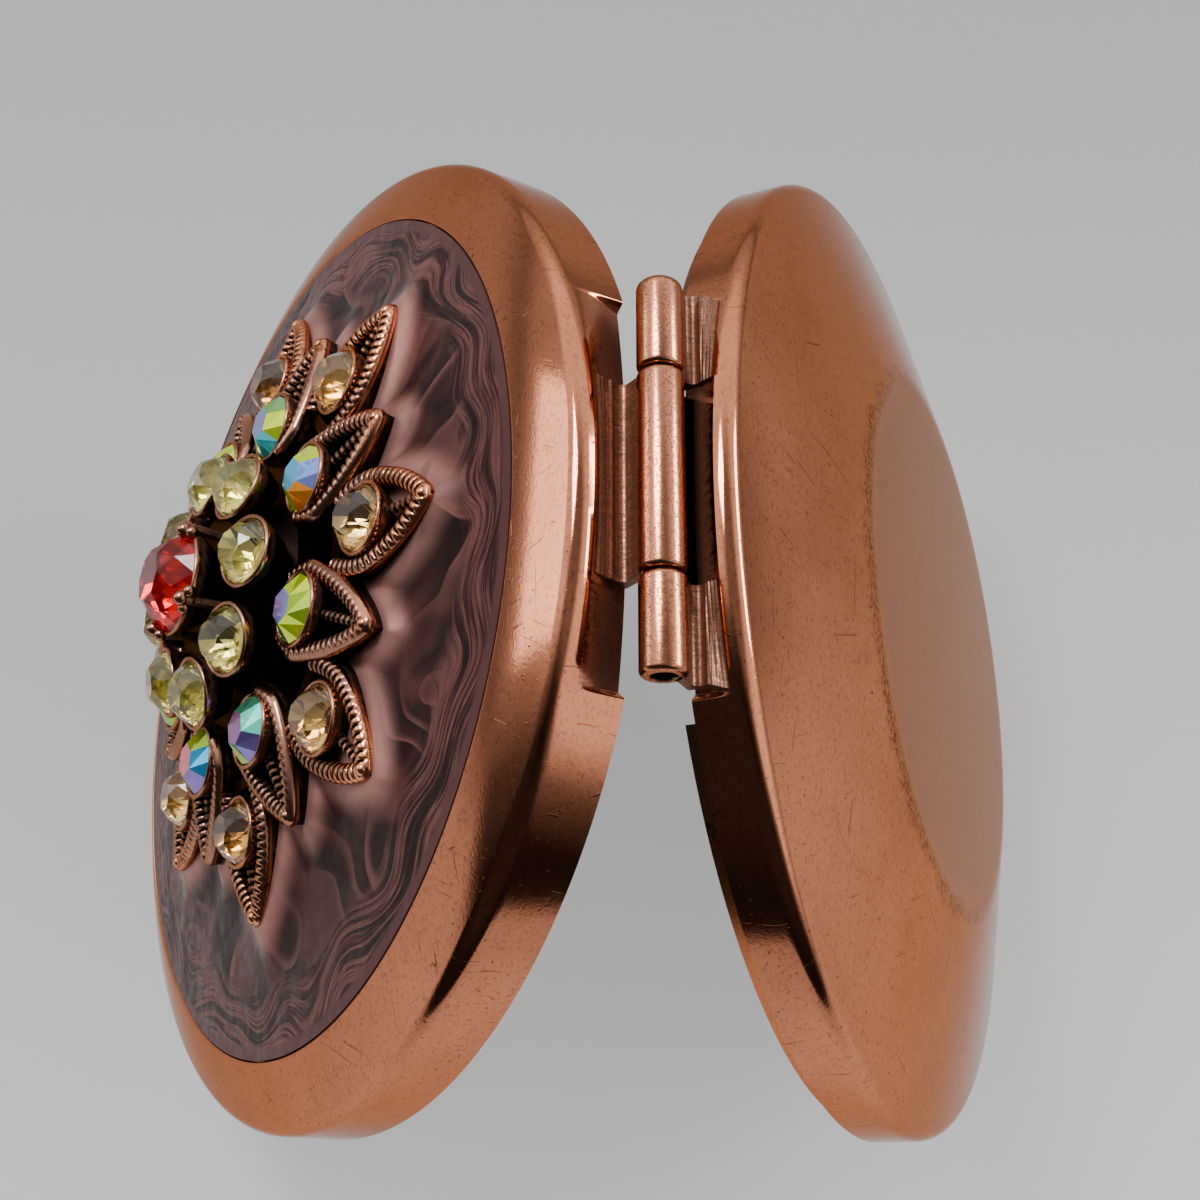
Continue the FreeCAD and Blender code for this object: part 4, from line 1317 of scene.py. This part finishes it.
def mirror_glass():
    """Silvered glass with smears of dust and a few fine scratches."""
    material, nodes, shader = new_material("mirror_glass")
    place = nodes.cad_place()
    hair = nodes.grouped(SCRATCHES, {"Place": place, "Turn": 0.9, "Amount": 0.35})["Mask"]
    dust = nodes.noise(place, 6.0, 4.0, 0.7)
    smear = nodes.noise(nodes.vector("MULTIPLY", place, (0.3, 0.08, 0.3)), 1.0, 3.0, 0.6)
    silver = nodes.mix(nodes.range(dust, 0.6, 0.8, 0.0, 0.25), (0.83, 0.85, 0.84, 1),
                       (0.6, 0.58, 0.55, 1))
    nodes.feed(shader.inputs["Base Color"], silver)
    shader.inputs["Metallic"].default_value = 1.0
    rough = nodes.math("ADD", nodes.range(smear, 0.4, 0.7, 0.02, 0.09),
                       nodes.math("MULTIPLY", hair, 0.2))
    nodes.feed(shader.inputs["Roughness"], rough)
    grooves = nodes.math("MULTIPLY", hair, -1.0)
    nodes.feed(shader.inputs["Normal"], nodes.bump(grooves, 0.05, 0.01 * MM))
    return material


def card():
    """Grey pressed card with long fibres."""
    material, nodes, shader = new_material("card")
    place = nodes.cad_place()
    fibre = nodes.noise(nodes.vector("MULTIPLY", place, (1.2, 5.0, 1.2)), 1.5, 4.0, 0.7, 0.6)
    board = nodes.mix(fibre, (0.16, 0.14, 0.12, 1), (0.36, 0.33, 0.29, 1))
    nodes.feed(shader.inputs["Base Color"], board)
    nodes.feed(shader.inputs["Roughness"], nodes.range(fibre, 0.3, 0.7, 0.8, 0.95))
    nodes.feed(shader.inputs["Normal"], nodes.bump(fibre, 0.4, 0.1 * MM))
    return material


def steel():
    """Drawn steel with fine lines and stains."""
    material, nodes, shader = new_material("steel")
    place = nodes.cad_place()
    drawn_lines = nodes.noise(nodes.vector("MULTIPLY", place, (9.0, 0.4, 9.0)), 1.0, 3.0, 0.6)
    pit = nodes.grouped(PITS, {"Place": place, "Scale": 5.0, "Amount": 0.3})["Mask"]
    bare = nodes.mix(drawn_lines, (0.42, 0.41, 0.39, 1), (0.58, 0.57, 0.55, 1))
    stained = nodes.mix(nodes.math("MULTIPLY", pit, 0.7), bare, STEEL_STAIN)
    nodes.feed(shader.inputs["Base Color"], stained)
    shader.inputs["Metallic"].default_value = 1.0
    nodes.feed(shader.inputs["Roughness"], nodes.range(drawn_lines, 0.3, 0.7, 0.22, 0.38))
    nodes.feed(shader.inputs["Normal"], nodes.bump(drawn_lines, 0.15, 0.02 * MM))
    return material


def cover(material, *names):
    """Gives CAD nodes that stay in the picture their material."""
    for name in names:
        cad_mesh = frame["nodes"][name].data
        cad_mesh.materials.clear()
        cad_mesh.materials.append(material)


# Stage

CAMERA_PLACE = Vector((-0.008766, -0.037060, 0.133478))
CAMERA_FORWARD = Vector((0.07208821, 0.35643941, -0.93153327))
CAMERA_UP = Vector((-0.0288379, 0.9343176, 0.35527313))
LENS = 51.02
SENSOR_WIDTH = 36
NEAREST = 0.005
WORLD_STRENGTH = 1.65
FLOOR_HALF = 1.5
# The floor's painted glow, and where the floor darkens and the glow grows, in metres along y
FLOOR_GLOW = 0.66
DARK_START = -0.13
DARK_FULL = -0.30
GLOW_START = 0.1
GLOW_FULL = -0.1


def grey(level):
    """A neutral colour of one level of light."""
    return (level, level, level, 1)


def add_camera():
    """The camera that was fitted to both rims of the case and to the hinge."""
    data = bpy.data.cameras.new("camera")
    data.lens = LENS
    data.sensor_width = SENSOR_WIDTH
    data.clip_start = NEAREST
    camera = bpy.data.objects.new("camera", data)
    right = CAMERA_FORWARD.cross(CAMERA_UP).normalized()
    up = right.cross(CAMERA_FORWARD).normalized()
    turn = Matrix((right, up, -CAMERA_FORWARD)).transposed().to_4x4()
    camera.matrix_world = Matrix.Translation(CAMERA_PLACE) @ turn
    bpy.context.scene.collection.objects.link(camera)
    bpy.context.scene.camera = camera


def add_light(name, place, target, size, power):
    """A soft box that faces a point; its size is in metres and its power in watts."""
    data = bpy.data.lights.new(name, "AREA")
    data.shape = "RECTANGLE"
    data.size, data.size_y = size
    data.energy = power
    light = bpy.data.objects.new(name, data)
    light.location = place
    light.rotation_euler = (Vector(target) - Vector(place)).to_track_quat("-Z", "Y").to_euler()
    bpy.context.scene.collection.objects.link(light)


def add_world():
    """Soft studio surroundings: pale behind and to the sides, dark in front and right overhead."""
    world = bpy.data.worlds.new("studio")
    world.use_nodes = True
    nodes = Nodes(world.node_tree)
    way = nodes.add("TexCoord").outputs["Generated"]
    behind = nodes.vector("DOT_PRODUCT", way, (0.33, 0.94, 0.0))
    share = nodes.math("ADD", nodes.math("MULTIPLY", behind, 0.5), 0.5)
    sky = nodes.ramp(share, [(0.26, grey(0.03)), (0.34, grey(0.2)), (0.42, grey(1))])
    height = nodes.add("SeparateXYZ", {"Vector": way}).outputs["Z"]
    overhead = nodes.ramp(height, [(0.0, grey(0.36)), (0.17, grey(0.5)), (0.36, grey(1)),
                                   (0.74, grey(0.95)), (0.92, grey(0.22))])
    sky = nodes.mix(1.0, sky, overhead, "MULTIPLY")
    backdrop = world.node_tree.nodes["Background"]
    nodes.feed(backdrop.inputs["Color"], sky)
    backdrop.inputs["Strength"].default_value = WORLD_STRENGTH
    bpy.context.scene.world = world


def add_floor():
    """A pale paper floor that darkens towards the viewer, with a painted glow, strongest towards the
    viewer, that lifts the shade the case throws.
    """
    corners = [(x * FLOOR_HALF, y * FLOOR_HALF, 0) for x, y in ((-1, -1), (1, -1), (1, 1), (-1, 1))]
    mesh = bpy.data.meshes.new("floor")
    mesh.from_pydata(corners, [], [(0, 1, 2, 3)])
    floor = bpy.data.objects.new("floor", mesh)
    bpy.context.scene.collection.objects.link(floor)
    paper, nodes, shader = new_material("floor_paper")
    place = nodes.add("TexCoord").outputs["Object"]
    fibre = nodes.noise(place, 900.0, 3.0)
    pale = nodes.mix(fibre, (0.25, 0.255, 0.255, 1), grey(0.275))
    away = nodes.add("SeparateXYZ", {"Vector": place}).outputs["Y"]
    ahead = nodes.range(away, DARK_START, DARK_FULL)
    nodes.feed(shader.inputs["Base Color"], nodes.mix(ahead, pale, grey(0.12)))
    # Painted light: the floor glows, most towards the viewer, to lift the shade there
    glow = nodes.range(away, GLOW_START, GLOW_FULL)
    nodes.feed(shader.inputs["Emission Color"], nodes.mix(glow, grey(0.06), grey(1)))
    shader.inputs["Emission Strength"].default_value = FLOOR_GLOW
    shader.inputs["Roughness"].default_value = 0.9
    mesh.materials.append(paper)


add_camera()
add_world()
add_floor()
add_light("left_box", place=(-0.155, 0.155, 0.36), target=(0, 0, 0.05), size=(0.12, 0.12), power=1.3)
add_light("low_box", place=(-0.36, 0.14, 0.125), target=(0, 0, 0.04), size=(0.18, 0.11), power=0.2)
add_light("right_box", place=(0.35, 0.12, 0.22), target=(0, 0, 0.05), size=(0.20, 0.09), power=1.2)

# Case, hinge, enamel and flower
case_copper = copper("case_copper", (0.57, 0.213, 0.114, 1), (0.47, 0.171, 0.091, 1),
                     roughness=0.1, oxide_and_shade_colour=colour(90, 63, 52), oxide_and_shade_grain=(1, 5, 1),
                     pits=0.14, pit_scale=3.0, scratches=0.57)
hinge_copper = copper("hinge_copper", (0.55, 0.225, 0.125, 1), (0.45, 0.175, 0.095, 1),
                      roughness=0.17, oxide_and_shade_colour=colour(80, 56, 46), oxide_and_shade_grain=(1, 5, 1),
                      pits=0.74, pit_scale=11.0, scratches=0.5)
# The castings' near black oxide colour paints shade into their hollows
cast_copper = copper("cast_copper", (0.82, 0.34, 0.18, 1), (0.6, 0.23, 0.11, 1),
                     roughness=0.2, oxide_and_shade_colour=colour(14, 8, 6), oxide_and_shade_grain=(1, 1, 1),
                     pits=0.2, pit_scale=4.0, scratches=0.2)
frame_copper = copper("frame_copper", (0.55, 0.18, 0.08, 1), (0.46, 0.145, 0.064, 1),
                      roughness=0.2, oxide_and_shade_colour=colour(84, 60, 50), oxide_and_shade_grain=(1, 1, 1),
                      pits=0.2, pit_scale=5.0, scratches=0.4, on_cad=True)
cover(frame_copper, "base_frame", "lid_frame", "latch_button", "lid_catch")
cover(mirror_glass(), "base_mirror", "lid_mirror")
cover(card(), "base_pad", "lid_pad")
cover(steel(), "hinge_pin", "latch_spring", "latch_keeper")
lid_shell(case_copper)
base_shell(case_copper)
hinge_leaves(hinge_copper)
enamel_panel(enamel())
petal_casting("outer_petals", OUTER, champagne_size, cast_copper)
petal_casting("inner_petals", INNER, aurora_size, cast_copper)
cup_cluster(cast_copper)
centre_setting(cast_copper)

# Cut stones, ring by ring
# The foils paint each back facet from dark to bright as glints, and the coat paints each facet a colour
# of its rainbow as painted reflections
champagne_glass = clear_glass("champagne_glass", (0.92, 0.62, 0.24, 1))
champagne_foil = facet_foil("champagne_foil", 0.7, 0.08, [
    (0.0, (0.12, 0.06, 0.02, 1)), (0.45, (0.75, 0.46, 0.16, 1)), (1.0, (1.0, 0.88, 0.52, 1))])
aurora_coat = facet_foil("aurora_coat", 0.75, 0.08, [
    (0.0, (0.8, 1.0, 0.0, 1)), (0.2, (0.25, 0.5, 0.04, 1)), (0.36, (0.04, 0.5, 0.4, 1)),
    (0.52, (0.03, 0.5, 0.9, 1)), (0.66, (0.26, 0.16, 0.55, 1)), (0.8, (0.3, 0.08, 0.2, 1)),
    (0.9, (0.9, 0.1, 0.2, 1)), (1.0, (0.9, 0.3, 0.0, 1))], coat=0.3)
yellow_glass = clear_glass("yellow_glass", (0.95, 0.86, 0.32, 1))
yellow_foil = facet_foil("yellow_foil", 0.7, 0.06, [
    (0.0, (0.1, 0.085, 0.02, 1)), (0.45, (0.7, 0.62, 0.18, 1)), (1.0, (1.0, 0.97, 0.62, 1))])
red_glass = clear_glass("red_glass", (0.6, 0.008, 0.008, 1), pale=(0.8, 0.03, 0.02, 1), ior=1.42)
red_foil = facet_foil("red_foil", 0.7, 0.06, [
    (0.0, (0.6, 0.03, 0.02, 1)), (0.6, (1.0, 0.2, 0.05, 1)), (1.0, (1.0, 0.55, 0.12, 1))])
stone_rings = [
    ("champagne", champagne_size, ring_places(OUTER, "stone_tilt"), champagne_glass, champagne_foil),
    ("aurora", aurora_size, ring_places(INNER, "stone_tilt"), aurora_coat, aurora_coat),
    ("yellow", yellow_size, cluster_places(), yellow_glass, yellow_foil)]
for kind, size, places, glass, foil in stone_rings:
    for i, place in enumerate(places):
        cut_stone(f"{kind}_stone_{i + 1}", size, place, glass, foil,
                  plain=kind == "aurora")
cut_stone("centre_stone", centre_size, setting_place(), red_glass, red_foil)
